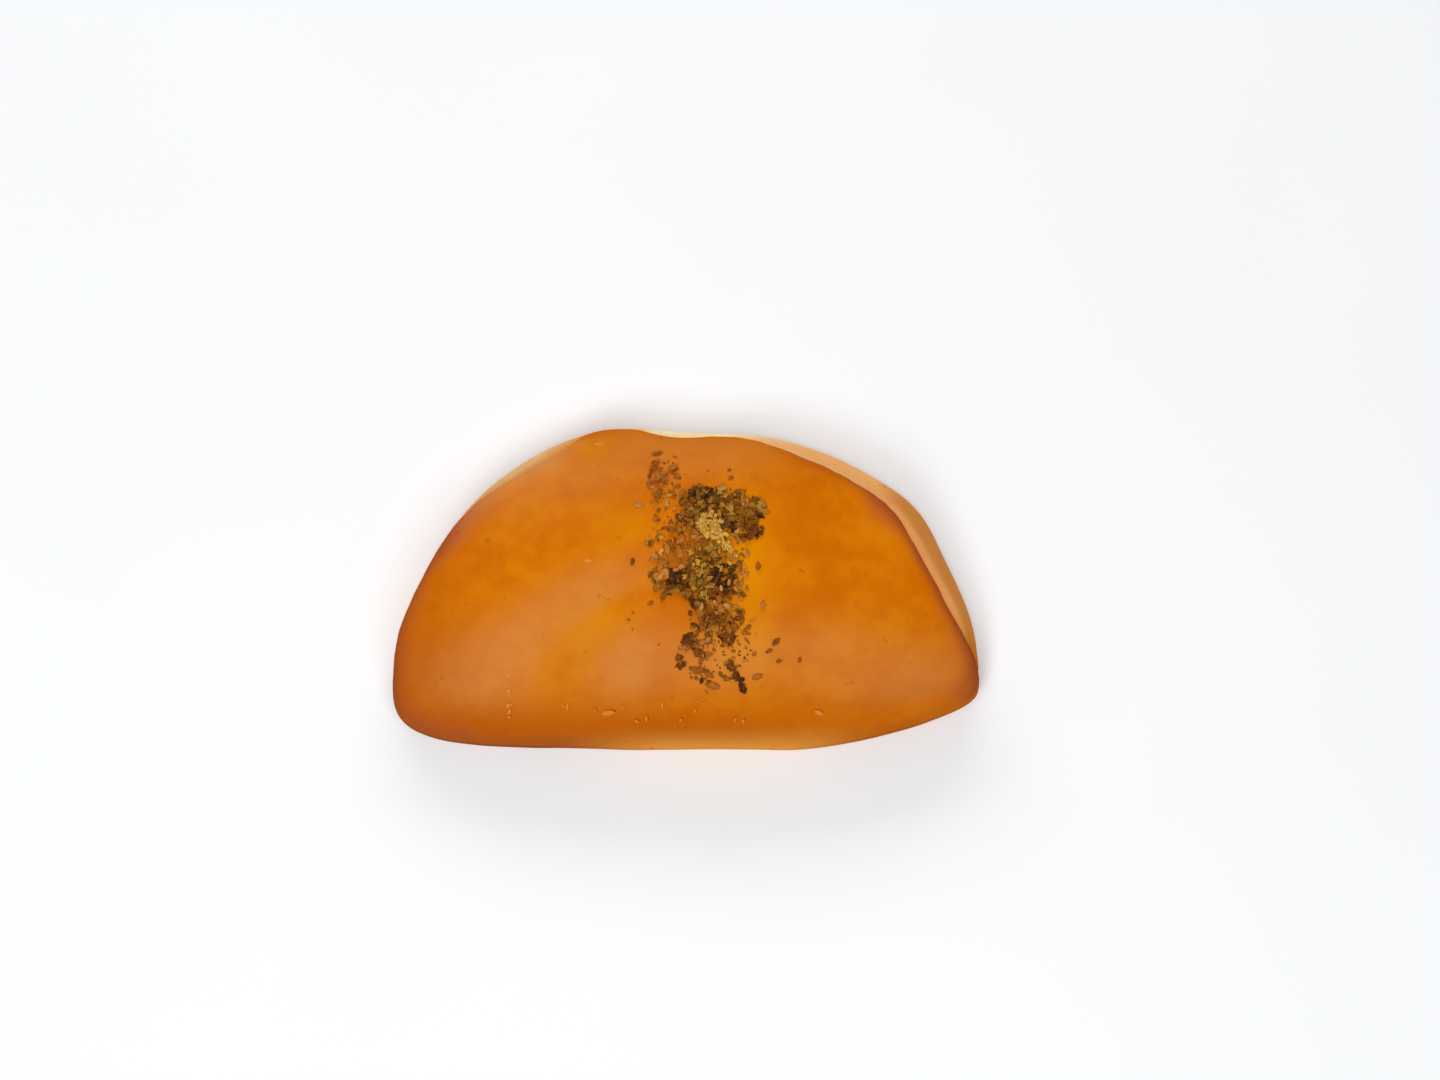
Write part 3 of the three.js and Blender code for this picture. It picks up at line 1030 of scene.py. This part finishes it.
@dataclass(frozen=True)
class Sheet:
    """A thin curled leaf, as one grid on each face."""

    along: int = 7
    across: int = 5
    curl: float = 0.32
    bend: float = 0.14
    ragged: float = 0.16
    twist: float = 0.25

    TIP_POWER = 2.4
    TIP_ROUNDING = 0.75
    TIP_GIRTH = 0.16
    TIP_RAGGED = 0.08
    LEAST_CURL = -0.4
    THINNING = 0.6

    def faces(self) -> Faces:
        """Lists the faces of one leaf: its top, its bottom and its edge.

        Returns:
            The faces, as numbers of points.
        """
        under = self.along * self.across
        faces: Faces = []
        for i in range(self.along - 1):
            for j in range(self.across - 1):
                corner = i * self.across + j
                top = (corner, corner + self.across, corner + self.across + 1, corner + 1)
                faces.append(top)
                faces.append(tuple(under + point for point in reversed(top)))
        last = under - self.across
        front = list(range(0, under, self.across))
        end = list(range(last, under))
        back = list(range(under - 1, -1, -self.across))
        start = list(range(self.across - 1, -1, -1))
        rim = front + end[1:] + back[1:] + start[1:-1]
        for here, there in zip(rim, rim[1:] + rim[:1]):
            faces.append((there, here, under + here, under + there))
        return faces

    def points(self, sizes: np.ndarray, rng: np.random.Generator) -> np.ndarray:
        """The points of many leaves, each curled in its own way.

        Args:
            sizes: Length, width and thickness of each leaf, (leaves, 3).
            rng: The source of random numbers.

        Returns:
            Points about each leaf's middle, (leaves, points, 3).
        """
        count = len(sizes)
        long, wide, thick = (sizes[:, k, None, None] for k in range(3))
        s = np.linspace(-1, 1, self.along)[None, :, None]
        t = np.linspace(-1, 1, self.across)[None, None, :]
        girth = np.maximum((1 - np.abs(s) ** self.TIP_POWER) ** self.TIP_ROUNDING, self.TIP_GIRTH)
        girth = girth * (1 + self.ragged * rng.normal(size=(count, self.along, self.across)) * np.abs(t))
        curl = self.curl * rng.uniform(self.LEAST_CURL, 1, (count, 1, 1))
        bend = self.bend * rng.uniform(-1, 1, (count, 1, 1))
        twist = self.twist * rng.uniform(-1, 1, (count, 1, 1))
        x = long / 2 * (s + self.TIP_RAGGED * rng.normal(size=(count, 1, self.across)) * np.abs(s))
        y = wide / 2 * girth * t
        z = wide * (curl * t**2 - np.minimum(curl, 0) + twist * s * t)
        z = z + long * (bend * s**2 - np.minimum(bend, 0))
        half = thick / 2 * (1 - self.THINNING * np.maximum(np.abs(s), np.abs(t)) ** 2)
        faces = [np.stack(np.broadcast_arrays(x, y, z + side * half), -1) for side in (1, -1)]
        return np.stack(faces, 1).reshape(count, -1, 3)


@dataclass(frozen=True)
class Spindle:
    """A closed round form about its long axis, as rings between two poles."""

    rings: int
    sides: int
    taper: float = 0.0
    power: float = 2.0
    bend: float = 0.0
    knobbly: float = 0.0

    BOW_LEVEL = 0.3

    def faces(self) -> Faces:
        """Lists the faces of one form.

        Returns:
            The faces, as numbers of points.
        """
        tip = self.rings * self.sides + 1
        faces: Faces = []
        for turn in range(self.sides):
            turned = (turn + 1) % self.sides
            faces.append((0, 1 + turned, 1 + turn))
            faces.append((tip - self.sides + turn, tip - self.sides + turned, tip))
            for ring in range(self.rings - 1):
                here = 1 + ring * self.sides
                there = here + self.sides
                faces.append((here + turn, here + turned, there + turned, there + turn))
        return faces

    def points(self, sizes: np.ndarray, rng: np.random.Generator) -> np.ndarray:
        """The points of many forms.

        Args:
            sizes: Length, width and thickness of each form, (forms, 3).
            rng: The source of random numbers.

        Returns:
            Points about each form's middle, (forms, points, 3).
        """
        count = len(sizes)
        places = -np.cos(np.pi * np.arange(self.rings + 2) / (self.rings + 1))
        angle = -2 * np.pi * np.arange(self.sides) / self.sides
        girth = np.sqrt(np.maximum(1 - np.abs(places) ** self.power, 0)) * (1 - self.taper * places)
        s, turn = np.meshgrid(places[1:-1], angle, indexing="ij")
        radius = np.repeat(girth[1:-1, None], self.sides, 1)
        body = np.stack([s, radius * np.cos(turn), radius * np.sin(turn)], -1).reshape(-1, 3)
        template = np.concatenate([[[-1, 0, 0]], body, [[1, 0, 0]]])
        knobs = 1 + self.knobbly * rng.normal(size=(count, len(template), 1))
        points = template * knobs * sizes[:, None] / 2
        bow = self.bend * rng.uniform(-1, 1, (count, 1)) * sizes[:, :1]
        points[..., 1] += bow * (template[None, :, 0] ** 2 - self.BOW_LEVEL)
        return points


SHAPES: dict[Form, Sheet | Spindle] = {
    Form.LEAF: Sheet(),
    Form.SEED: Spindle(rings=9, sides=10, taper=0.3, knobbly=0.02),
    Form.STEM: Spindle(rings=7, sides=6, power=8, bend=0.14, knobbly=0.05),
    Form.CRUMB: Spindle(rings=3, sides=6, knobbly=0.2),
    Form.SCALE: Sheet(curl=0.03, bend=0.01, twist=0.02),
}


@dataclass(frozen=True)
class DriedFinish:
    """Dried leaf, seed or crumb, from its darkest to its lightest, in a green and a brown strain."""

    name: str
    green: Stops
    brown: Stops
    roughness: float = 0.62
    grain: float = 0.35
    mottle_size: float = 0.9
    contrast: float = 0.9
    relief_depth: float = 0.08
    relief_strength: float = 0.5
    gloss: float = 0.06

    def material(self) -> bpy.types.Material:
        """Builds the shader from each bit's own shade and tone.

        Returns:
            The material.
        """
        graph = Graph(self.name)
        where = graph.coordinates()
        uneven = graph.noise(where, self.mottle_size, 3, 0.6) - 0.5
        veins = graph.noise(where, self.grain, 3)
        level = graph.attribute("shade") + self.contrast * uneven
        green = graph.ramp(level, self.green)
        brown = graph.ramp(level, self.brown)
        shader = graph.surface(
            Base_Color=graph.blend(green, brown, graph.attribute("tone")),
            Roughness=self.roughness + 0.3 * uneven,
            Normal=graph.bump(veins, self.relief_depth, self.relief_strength),
            Specular_IOR_Level=self.gloss,
        )
        return graph.finish(shader)


LEAF_FINISH = DriedFinish(
    "dried_thyme_leaf",
    green=ramp_stops((0, 46, 32, 10), (0.35, 104, 74, 18), (0.7, 150, 110, 34), (1, 184, 142, 60)),
    brown=ramp_stops((0, 58, 28, 17), (0.35, 130, 68, 18), (0.7, 170, 98, 28), (1, 202, 128, 54)),
)
HUSK_FINISH = DriedFinish(
    "yellow_thyme_husk",
    green=ramp_stops((0, 140, 98, 24), (0.5, 186, 138, 42), (1, 210, 164, 68)),
    brown=ramp_stops((0, 152, 96, 28), (0.5, 202, 140, 48), (1, 226, 170, 78)),
)
SEED_FINISH = DriedFinish(
    "toasted_sesame",
    green=ramp_stops((0, 142, 86, 28), (0.5, 184, 126, 58), (1, 214, 164, 96)),
    brown=ramp_stops((0, 136, 78, 26), (0.5, 178, 116, 52), (1, 208, 154, 90)),
    roughness=0.5,
)
CHIP_FINISH = DriedFinish(
    "peeled_crust_chip",
    green=ramp_stops((0, 216, 124, 28), (1, 226, 142, 54)),
    brown=ramp_stops((0, 212, 118, 24), (1, 224, 138, 50)),
    roughness=0.55,
)


class Bit(Enum):
    """The kinds of bits strewn on the crust, by the names of their pieces."""

    CRUMB = "thyme_crumbs"
    FLAKE = "thyme_flakes"
    LEAF = "thyme_leaves"
    HUSK = "thyme_husks"
    STEM = "thyme_stems"
    SEED = "sesame_seeds"
    CHIP = "crust_chips"


@dataclass(frozen=True)
class Kind:
    """How one kind of bit is made: ranges of its sizes in millimetres, how it lies and its finish."""

    form: Form
    long: tuple[float, float]
    wide: tuple[float, float]
    thick: tuple[float, float]
    finish: DriedFinish
    sunk: float = 0.2
    lean: float = 0.3


KINDS: dict[Bit, Kind] = {
    Bit.CRUMB: Kind(Form.CRUMB, (0.4, 1.1), (0.3, 0.8), (0.25, 0.5), LEAF_FINISH, sunk=0.3),
    Bit.FLAKE: Kind(Form.LEAF, (1.0, 2.1), (0.6, 1.2), (0.14, 0.24), LEAF_FINISH, lean=0.5),
    Bit.HUSK: Kind(Form.LEAF, (1.0, 2.2), (0.6, 1.3), (0.14, 0.24), HUSK_FINISH, lean=0.25),
    Bit.STEM: Kind(Form.STEM, (2.2, 4.4), (0.35, 0.55), (0.3, 0.45), HUSK_FINISH, sunk=0.1, lean=0.15),
    Bit.LEAF: Kind(Form.LEAF, (1.7, 3.3), (0.9, 1.8), (0.16, 0.28), LEAF_FINISH, lean=0.4),
    Bit.SEED: Kind(Form.SEED, (2.2, 2.9), (1.2, 1.5), (0.7, 0.9), SEED_FINISH, sunk=0.5, lean=0.25),
    Bit.CHIP: Kind(Form.SCALE, (0.8, 2.0), (0.4, 0.8), (0.1, 0.14), CHIP_FINISH, sunk=0.5, lean=0.02),
}


@dataclass(frozen=True)
class Patch:
    """An area strewn with bits: how brown they are, how light, and how many there are of each kind."""

    area: Oval
    tone: float
    shade: float
    counts: dict[Bit, int]


@dataclass(frozen=True)
class Spot:
    """A single bit that stands out: its kind, place, length, turn in degrees, shade and tone."""

    bit: Bit
    x: float
    y: float
    long: float
    turn: float
    shade: float
    tone: float = 0.4


CRUMB, FLAKE, LEAF, HUSK, STEM, SEED, CHIP = Bit

PATCHES = (
    Patch(Oval(8.6, 14.2, 10.4, 5.0, -10), 0.42, 0.6, {CRUMB: 130, FLAKE: 94, LEAF: 50}),
    Patch(Oval(11.0, 9.8, 2.4, 3.6, 0), 0.5, 0.58, {CRUMB: 24, FLAKE: 14, LEAF: 5}),
    Patch(Oval(1.2, 11.5, 3.0, 2.8, 0), 0.5, 0.54, {CRUMB: 26, FLAKE: 18, LEAF: 3}),
    Patch(Oval(4.1, 17.0, 3.8, 2.0, 5), 0.35, 0.14, {CRUMB: 26, FLAKE: 18, LEAF: 10}),
    Patch(Oval(-0.5, 8.5, 3.6, 4.4, 0), 0.65, 0.62, {CRUMB: 28, FLAKE: 16, LEAF: 4}),
    Patch(Oval(12.6, 2.6, 2.2, 3.6, 0), 0.75, 0.7, {CRUMB: 18, FLAKE: 7}),
    Patch(Oval(4.5, -8.4, 5.0, 2.2, 0), 0.65, 0.48, {CRUMB: 36, FLAKE: 20, LEAF: 4}),
    Patch(Oval(14.8, 8.0, 3.6, 2.6, 0), 0.75, 0.34, {CRUMB: 28, FLAKE: 16, LEAF: 7}),
    Patch(Oval(-4.3, 2.0, 9.8, 4.8, 95), 0.9, 0.66, {CRUMB: 44, FLAKE: 23, LEAF: 10, HUSK: 4}),
    Patch(Oval(4.2, 0.5, 4.4, 7.5, 0), 0.4, 0.66, {CRUMB: 80, FLAKE: 50, LEAF: 18, HUSK: 4}),
    Patch(Oval(6.2, 9.4, 3.4, 3.0, 0), 0.55, 0.95, {CRUMB: 16, FLAKE: 3, HUSK: 48, STEM: 1}),
    Patch(Oval(9.5, 3.8, 5.4, 1.8, -63), 0.6, 0.9, {CRUMB: 16, FLAKE: 5, HUSK: 20, STEM: 2}),
    Patch(Oval(-1.8, -4.8, 4.0, 3.6, 0), 0.8, 0.42, {CRUMB: 20, FLAKE: 12, LEAF: 3}),
    Patch(Oval(-1.2, -4.6, 2.6, 2.4, 0), 0.75, 0.06, {CRUMB: 22, FLAKE: 15, LEAF: 8}),
    Patch(Oval(9.4, -4.2, 3.4, 4.8, 0), 0.75, 0.36, {CRUMB: 24, FLAKE: 13, LEAF: 4}),
    Patch(Oval(9.0, -4.4, 2.4, 3.7, 0), 0.7, 0.05, {CRUMB: 28, FLAKE: 18, LEAF: 10}),
    Patch(Oval(4.7, -4.6, 1.7, 4.4, 0), 0.2, 0.62, {CRUMB: 30, FLAKE: 20, HUSK: 6, STEM: 2}),
    Patch(Oval(13.2, -4.0, 1.6, 5.0, 0), 0.9, 0.78, {CRUMB: 26, FLAKE: 12}),
    Patch(Oval(7.2, -12.6, 7.0, 4.4, 0), 0.9, 0.57, {CRUMB: 90, FLAKE: 54, LEAF: 14, HUSK: 1}),
    Patch(Oval(2.2, -19.3, 3.6, 1.6, -35), 0.7, 0.36, {CRUMB: 14, FLAKE: 8, LEAF: 2}),
    Patch(Oval(10.4, -17.4, 1.6, 1.6, 0), 0.8, 0.36, {CRUMB: 6, FLAKE: 4}),
    Patch(Oval(12.3, -26.2, 3.6, 0.9, -58), 0.85, 0.3, {CRUMB: 12, FLAKE: 5}),
    Patch(Oval(7.5, -20.5, 9.5, 7.0, 5), 0.95, 0.56, {CRUMB: 76, FLAKE: 32, LEAF: 5}),
    Patch(Oval(-5.0, 21.0, 8.5, 3.6, 85), 1.0, 0.62, {CRUMB: 40, FLAKE: 18, LEAF: 4}),
    Patch(Oval(3.0, -4.0, 30.0, 17.0, 80), 1.0, 0.8, {CRUMB: 40, FLAKE: 7}),
    Patch(Oval(0.0, -33.5, 36.0, 2.5, 0), 0.5, 0.4, {CHIP: 12}),
    Patch(Oval(-41.6, -29.5, 6.5, 0.5, 93), 0.3, 0.7, {CHIP: 10}),
)

SPOTS = (
    Spot(LEAF, -6.7, 28.7, 2.6, 5, 0.5, 0.9),
    Spot(LEAF, -7.1, 25.8, 2.4, 20, 0.5, 0.9),
    Spot(LEAF, -5.7, 22.2, 3.6, 35, 0.7, 0.9),
    Spot(LEAF, -4.9, 21.2, 3.0, 60, 0.62, 0.9),
    Spot(LEAF, -6.2, 17.1, 3.2, 70, 0.5, 0.9),
    Spot(STEM, -2.7, 17.8, 3.2, 75, 0.1, 0.8),
    Spot(SEED, -4.3, 14.8, 2.1, 110, 0.7),
    Spot(SEED, -10.8, 14.3, 2.7, -10, 0.5),
    Spot(LEAF, -12.2, 0.2, 1.8, 80, 0.3, 0.6),
    Spot(LEAF, -7.9, -2.9, 1.8, 60, 0.4, 0.9),
    Spot(LEAF, -4.8, -7.9, 2.6, 50, 0.45, 0.9),
    Spot(FLAKE, -7.9, -9.4, 1.6, 30, 0.5, 0.9),
    Spot(SEED, 12.3, 7.6, 2.0, 60, 0.9),
    Spot(LEAF, 6.0, 3.4, 3.2, 10, 0.8, 0.1),
    Spot(STEM, 6.5, 8.6, 3.6, -50, 0.9),
    Spot(STEM, 9.8, 3.8, 4.4, -60, 0.85),
    Spot(SEED, -1.9, -1.7, 1.9, 20, 0.55),
    Spot(SEED, -5.5, -3.2, 2.0, 50, 0.8),
    Spot(SEED, 8.5, -1.7, 1.8, 80, 0.7),
    Spot(SEED, 8.6, -6.2, 1.7, 100, 0.8),
    Spot(SEED, 10.4, -4.8, 1.7, 60, 0.6),
    Spot(SEED, 4.0, -10.4, 2.0, 85, 0.7),
    Spot(SEED, 10.0, -10.2, 2.3, -30, 0.8),
    Spot(SEED, 5.4, -17.9, 2.3, 35, 0.4),
    Spot(LEAF, -1.2, -21.9, 2.2, 10, 0.35, 0.9),
    Spot(LEAF, 2.3, -24.5, 2.8, -25, 0.55, 0.9),
    Spot(LEAF, 0.6, -18.3, 3.2, -15, 0.25, 0.85),
    Spot(LEAF, 3.4, -20.7, 3.4, -30, 0.35, 0.9),
    Spot(LEAF, 10.2, -17.0, 3.0, -10, 0.32, 0.9),
    Spot(LEAF, 11.0, -18.2, 2.4, 60, 0.24, 0.9),
    Spot(LEAF, 14.7, -15.2, 2.2, 40, 0.6, 0.95),
    Spot(LEAF, 10.9, -24.1, 2.5, -35, 0.3, 0.9),
    Spot(LEAF, 12.3, -26.1, 3.1, -55, 0.24, 0.9),
    Spot(LEAF, 13.5, -28.5, 3.0, -70, 0.08, 0.85),
    Spot(LEAF, 17.0, -26.0, 2.7, 25, 0.7, 1.0),
    Spot(LEAF, 6.5, -28.0, 3.4, -15, 0.72, 1.0),
    Spot(LEAF, 21.4, -18.3, 2.4, 50, 0.35, 0.8),
    Spot(FLAKE, 19.8, -20.3, 1.7, 30, 0.5, 0.9),
    Spot(FLAKE, 22.1, -22.5, 1.5, 20, 0.5, 0.9),
    Spot(FLAKE, 26.9, -22.2, 1.5, 70, 0.5, 0.9),
    Spot(LEAF, 17.2, -0.7, 2.1, 80, 0.55, 0.9),
    Spot(FLAKE, 18.3, -9.9, 2.0, 80, 0.8, 1.0),
    Spot(FLAKE, 10.9, 21.7, 1.7, 40, 0.65, 1.0),
    Spot(CHIP, -22.5, 0.5, 2.0, 5, 0.8),
    Spot(CHIP, -17.9, -33.8, 3.4, 10, 0.2),
    Spot(CHIP, 31.5, -33.6, 2.6, -30, 0.5),
    Spot(CHIP, -20.6, 32.0, 3.4, 5, 0.3),
)


class Pile:
    """How high the strewn bits have piled up over the crust, on a fine grid of the plan."""

    HALF = 48.0
    CELL = 0.25
    STEEPEST = 0.8
    LEAST_SPREAD = 1e-6
    REST_SHARE = 0.7
    FILLED = 0.8

    def __init__(self, dough: Dough) -> None:
        """Starts from the bare crust.

        Args:
            dough: The dough that the bits lie on.
        """
        self.places = np.arange(-self.HALF, self.HALF, self.CELL)
        x, y = np.meshgrid(self.places, self.places, indexing="ij")
        crust = np.stack([x, y, dough.top(x, y)], -1)
        self.crust = crust[..., 2] + dough.swell(crust)
        self.heights = self.crust.copy()

    def _slope(self, away: np.ndarray, lift: np.ndarray) -> float:
        """The slope, within the steepest, that fits heights at distances from a bit's middle."""
        slope = (away * lift).sum() / max((away**2).sum(), self.LEAST_SPREAD)
        return np.clip(slope, -self.STEEPEST, self.STEEPEST)

    def lay(
        self, place: np.ndarray, size: np.ndarray, turn: float, sunk: float
    ) -> tuple[np.ndarray, np.ndarray, float]:
        """Lays one bit on what is there already.

        Args:
            place: Its place on the plan.
            size: Its length, width and thickness.
            turn: Its turn on the plan, in radians.
            sunk: How much of its thickness is pressed in.

        Returns:
            The bit's middle, its axes as the columns of a matrix, and how deep the bits under it lie.
        """
        reach = int(np.ceil(size[0] / 2 / self.CELL)) + 1
        middle = np.round((place + self.HALF) / self.CELL).astype(int)
        middle = np.clip(middle, reach, len(self.places) - reach - 1)
        window = tuple(slice(at - reach, at + reach + 1) for at in middle)
        dx, dy = np.meshgrid(*(self.places[span] - spot for span, spot in zip(window, place)), indexing="ij")
        along = dx * np.cos(turn) + dy * np.sin(turn)
        across = dy * np.cos(turn) - dx * np.sin(turn)
        under = (2 * along / size[0]) ** 2 + (2 * across / size[1]) ** 2 < 1
        under[reach, reach] = True
        ground = self.heights[window]
        level = ground[under].mean()
        rise = [self._slope(away[under], ground[under] - level) for away in (dx, dy)]
        slope = rise[0] * dx + rise[1] * dy
        rest = np.quantile((ground - slope)[under], self.REST_SHARE)
        covered = np.maximum(ground, rest + slope + self.FILLED * size[2])
        self.heights[window] = np.where(under, covered, ground)
        up = unit(np.array([-rise[0], -rise[1], 1.0]))
        ahead = np.array([np.cos(turn), np.sin(turn), 0.0])
        ahead = unit(ahead - up * (ahead @ up))
        axes = np.stack([ahead, np.cross(up, ahead), up], -1)
        depth = level - self.crust[window][under].mean()
        return np.array([*place, rest + size[2] * (0.5 - sunk)]), axes, depth


@dataclass
class Strewing:
    """All the bits on the crust: patches first, then the single ones that stand out."""

    dough: Dough
    patches: tuple[Patch, ...] = PATCHES
    spots: tuple[Spot, ...] = SPOTS
    seed: int = 7
    clump_size: float = 4.5
    clump_shade: float = 0.28
    shade_spread: float = 0.2
    least_shade: float = 0.06
    drift_size: float = 6.5
    drift_offset: float = 4.2
    drift_tone: float = 0.5
    tone_spread: float = 0.15
    loose_depth: float = 0.4
    least_lean: float = 0.25

    def _sizes(self, kind: Kind, count: int, rng: np.random.Generator) -> np.ndarray:
        """Draws lengths, widths and thicknesses for bits of one kind."""
        ranges = np.array([kind.long, kind.wide, kind.thick])
        return lerp(ranges[:, 0], ranges[:, 1], rng.random((count, 3)))

    def _strewn(self, rng: np.random.Generator) -> dict[Bit, list[np.ndarray]]:
        """Draws every bit's place, turn, sizes, shade and tone, kind by kind.

        Args:
            rng: The source of random numbers.

        Returns:
            For each kind, rows of x, y, turn, length, width, thickness, shade and tone.
        """
        rows: dict[Bit, list[np.ndarray]] = {bit: [] for bit in Bit}
        for bit in Bit:
            for patch in self.patches:
                count = patch.counts.get(bit, 0)
                turn = rng.random((count, 1)) * 2 * np.pi
                places = patch.area.spots(count, rng)
                level = np.insert(places, 2, 0, 1)
                clump = self.clump_shade * ripple(level, self.clump_size)[:, None]
                drift = self.drift_tone * ripple(level, self.drift_size, self.drift_offset)[:, None]
                shade = patch.shade + clump + self.shade_spread * rng.normal(size=(count, 1))
                tone = patch.tone + drift + self.tone_spread * rng.normal(size=(count, 1))
                shade = np.clip(shade, self.least_shade, 1)
                tone = np.clip(tone, 0, 1)
                sizes = self._sizes(KINDS[bit], count, rng)
                rows[bit].append(np.hstack([places, turn, sizes, shade, tone]))
        for spot in self.spots:
            kind = KINDS[spot.bit]
            size = np.array([kind.long, kind.wide, kind.thick]).mean(1)
            size[:2] *= spot.long / size[0]
            row = [spot.x, spot.y, np.radians(spot.turn), *size, spot.shade, spot.tone]
            rows[spot.bit].append(np.array([row]))
        return rows

    def build(self) -> list[bpy.types.Object]:
        """Makes one piece of each kind of bit.

        Returns:
            The pieces.
        """
        rng = np.random.default_rng(self.seed)
        pile = Pile(self.dough)
        finishes = {kind.finish.name: kind.finish for kind in KINDS.values()}
        materials = {name: finish.material() for name, finish in finishes.items()}
        pieces = []
        for bit, drawn in self._strewn(rng).items():
            kind = KINDS[bit]
            rows = np.concatenate(drawn)
            rests = [pile.lay(row[:2], row[3:6], row[2], kind.sunk) for row in rows]
            middles, axes, depths = (np.array(values) for values in zip(*rests))
            loose = np.clip(depths / self.loose_depth, self.least_lean, 1)
            axes = axes @ self._leaning(kind.lean * loose, rng)
            shape = SHAPES[kind.form]
            points = shape.points(rows[:, 3:6], rng)
            placed = np.einsum("nij,nvj->nvi", axes, points) + middles[:, None]
            each = points.shape[1]
            starts = range(0, each * len(rows), each)
            faces = [tuple(start + point for point in face) for start in starts for face in shape.faces()]
            numbers = {"shade": np.repeat(rows[:, 6], each), "tone": np.repeat(rows[:, 7], each)}
            material = materials[kind.finish.name]
            pieces.append(make_piece(bit.value, placed.reshape(-1, 3), faces, numbers, material))
        return pieces

    @staticmethod
    def _leaning(most: np.ndarray, rng: np.random.Generator) -> np.ndarray:
        """Small turns about the bits' own lengths and widths.

        Args:
            most: The most that each bit leans, in radians.
            rng: The source of random numbers.

        Returns:
            Turning matrices, (bits, 3, 3).
        """
        roll, pitch = rng.uniform(-1, 1, (2, len(most))) * most
        one, none = np.ones_like(most), np.zeros_like(most)
        rolled = [
            [one, none, none],
            [none, np.cos(roll), -np.sin(roll)],
            [none, np.sin(roll), np.cos(roll)],
        ]
        pitched = [
            [np.cos(pitch), none, np.sin(pitch)],
            [none, one, none],
            [-np.sin(pitch), none, np.cos(pitch)],
        ]
        return np.einsum("ijn,jkn->nik", np.array(rolled), np.array(pitched))


@dataclass(frozen=True)
class Softbox:
    """A rectangular studio light, aimed at the pastry from a bearing and an elevation in degrees.

    Its distance, width and depth are in metres, and its power is in watts.
    """

    name: str
    bearing: float
    elevation: float
    distance: float
    width: float
    depth: float
    power: float

    def build(self, aim: Vector) -> None:
        """Puts the light in the scene.

        Args:
            aim: The point that it faces, in metres.
        """
        light = bpy.data.lights.new(self.name, "AREA")
        light.shape = "RECTANGLE"
        light.size = self.width
        light.size_y = self.depth
        light.energy = self.power
        lamp = bpy.data.objects.new(self.name, light)
        bearing = np.radians(self.bearing)
        elevation = np.radians(self.elevation)
        flat = np.cos(elevation)
        away = Vector((flat * np.cos(bearing), flat * np.sin(bearing), np.sin(elevation)))
        lamp.location = aim + self.distance * away
        lamp.rotation_euler = away.to_track_quat("Z", "Y").to_euler()
        bpy.context.scene.collection.objects.link(lamp)


@dataclass(frozen=True)
class Studio:
    """A plain pale floor, soft light and the camera at the photograph's angle.

    The floor's half and drop are in metres, and the camera's aim, distance and frame in millimetres.
    """

    floor_half: float = 4.0
    floor_drop: float = 0.00005
    floor_white: Colour = srgb(240, 242, 244)
    floor_shade: Colour = srgb(237, 239, 241)
    floor_glow: float = 0.1
    floor_cloud: float = 60.0
    floor_roughness: float = 0.7
    sky: float = 0.19
    aim: tuple[float, float, float] = (8.29, 9.99, 12.0)
    elevation: float = 75.0
    distance: float = 750.0
    frame_width: float = 345.6
    sensor: float = 36.0
    lights: tuple[Softbox, ...] = (
        Softbox("key_light", bearing=-113, elevation=48, distance=1.2, width=0.3, depth=0.3, power=3.7),
        Softbox("front_light", bearing=-90, elevation=67, distance=1.2, width=1.2, depth=0.55, power=7.8),
        Softbox("back_light", bearing=97, elevation=29, distance=1.2, width=1.4, depth=0.4, power=7.8),
    )

    def build(self) -> None:
        """Makes the floor, the lights, the sky and the camera."""
        aim = Vector(self.aim) * MM
        self._floor()
        for light in self.lights:
            light.build(aim)
        world = bpy.data.worlds.new("sky")
        world.use_nodes = True
        background = world.node_tree.nodes["Background"].inputs
        background["Color"].default_value = (1, 1, 1, 1)
        background["Strength"].default_value = self.sky
        bpy.context.scene.world = world
        bpy.context.scene.view_settings.view_transform = "Standard"
        self._camera(aim)

    def _floor(self) -> None:
        """Lays the floor just under the pastry."""
        graph = Graph("pale_floor")
        cloud = graph.noise(graph.coordinates(), self.floor_cloud)
        colour = graph.blend(self.floor_white, self.floor_shade, cloud)
        half = self.floor_half / MM
        corners = np.array([[-half, -half, 0], [half, -half, 0], [half, half, 0], [-half, half, 0]])
        shader = graph.surface(
            Base_Color=colour,
            Roughness=self.floor_roughness,
            Specular_IOR_Level=0.2,
            Emission_Color=self.floor_white,
            Emission_Strength=self.floor_glow,
        )
        material = graph.finish(shader)
        floor = make_piece("floor", corners, [(0, 1, 2, 3)], {}, material)
        floor.location.z = -self.floor_drop

    def _camera(self, aim: Vector) -> None:
        """Sets the camera to look from the front.

        Args:
            aim: The point that it faces, in metres.
        """
        camera = bpy.data.cameras.new("camera")
        camera.sensor_width = self.sensor
        camera.lens = self.sensor * self.distance / self.frame_width
        holder = bpy.data.objects.new("camera", camera)
        elevation = np.radians(self.elevation)
        away = Vector((0, -np.cos(elevation), np.sin(elevation)))
        holder.location = aim + self.distance * MM * away
        holder.rotation_euler = (np.pi / 2 - elevation, 0, 0)
        bpy.context.scene.collection.objects.link(holder)
        bpy.context.scene.camera = holder


def main() -> None:
    """Builds the studio, the dough and the bits strewn on it."""
    logging.basicConfig(level=logging.INFO, format="%(name)s: %(message)s")
    Studio().build()
    dough = Dough()
    crust = dough.build()
    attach(crust, BODY)
    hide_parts(NODE)
    LOG.info("%s: %d faces", crust.name, len(crust.data.polygons))
    for piece in Strewing(dough).build():
        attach(piece, BODY)
        LOG.info("%s: %d faces", piece.name, len(piece.data.polygons))


if __name__ == "__main__":
    main()
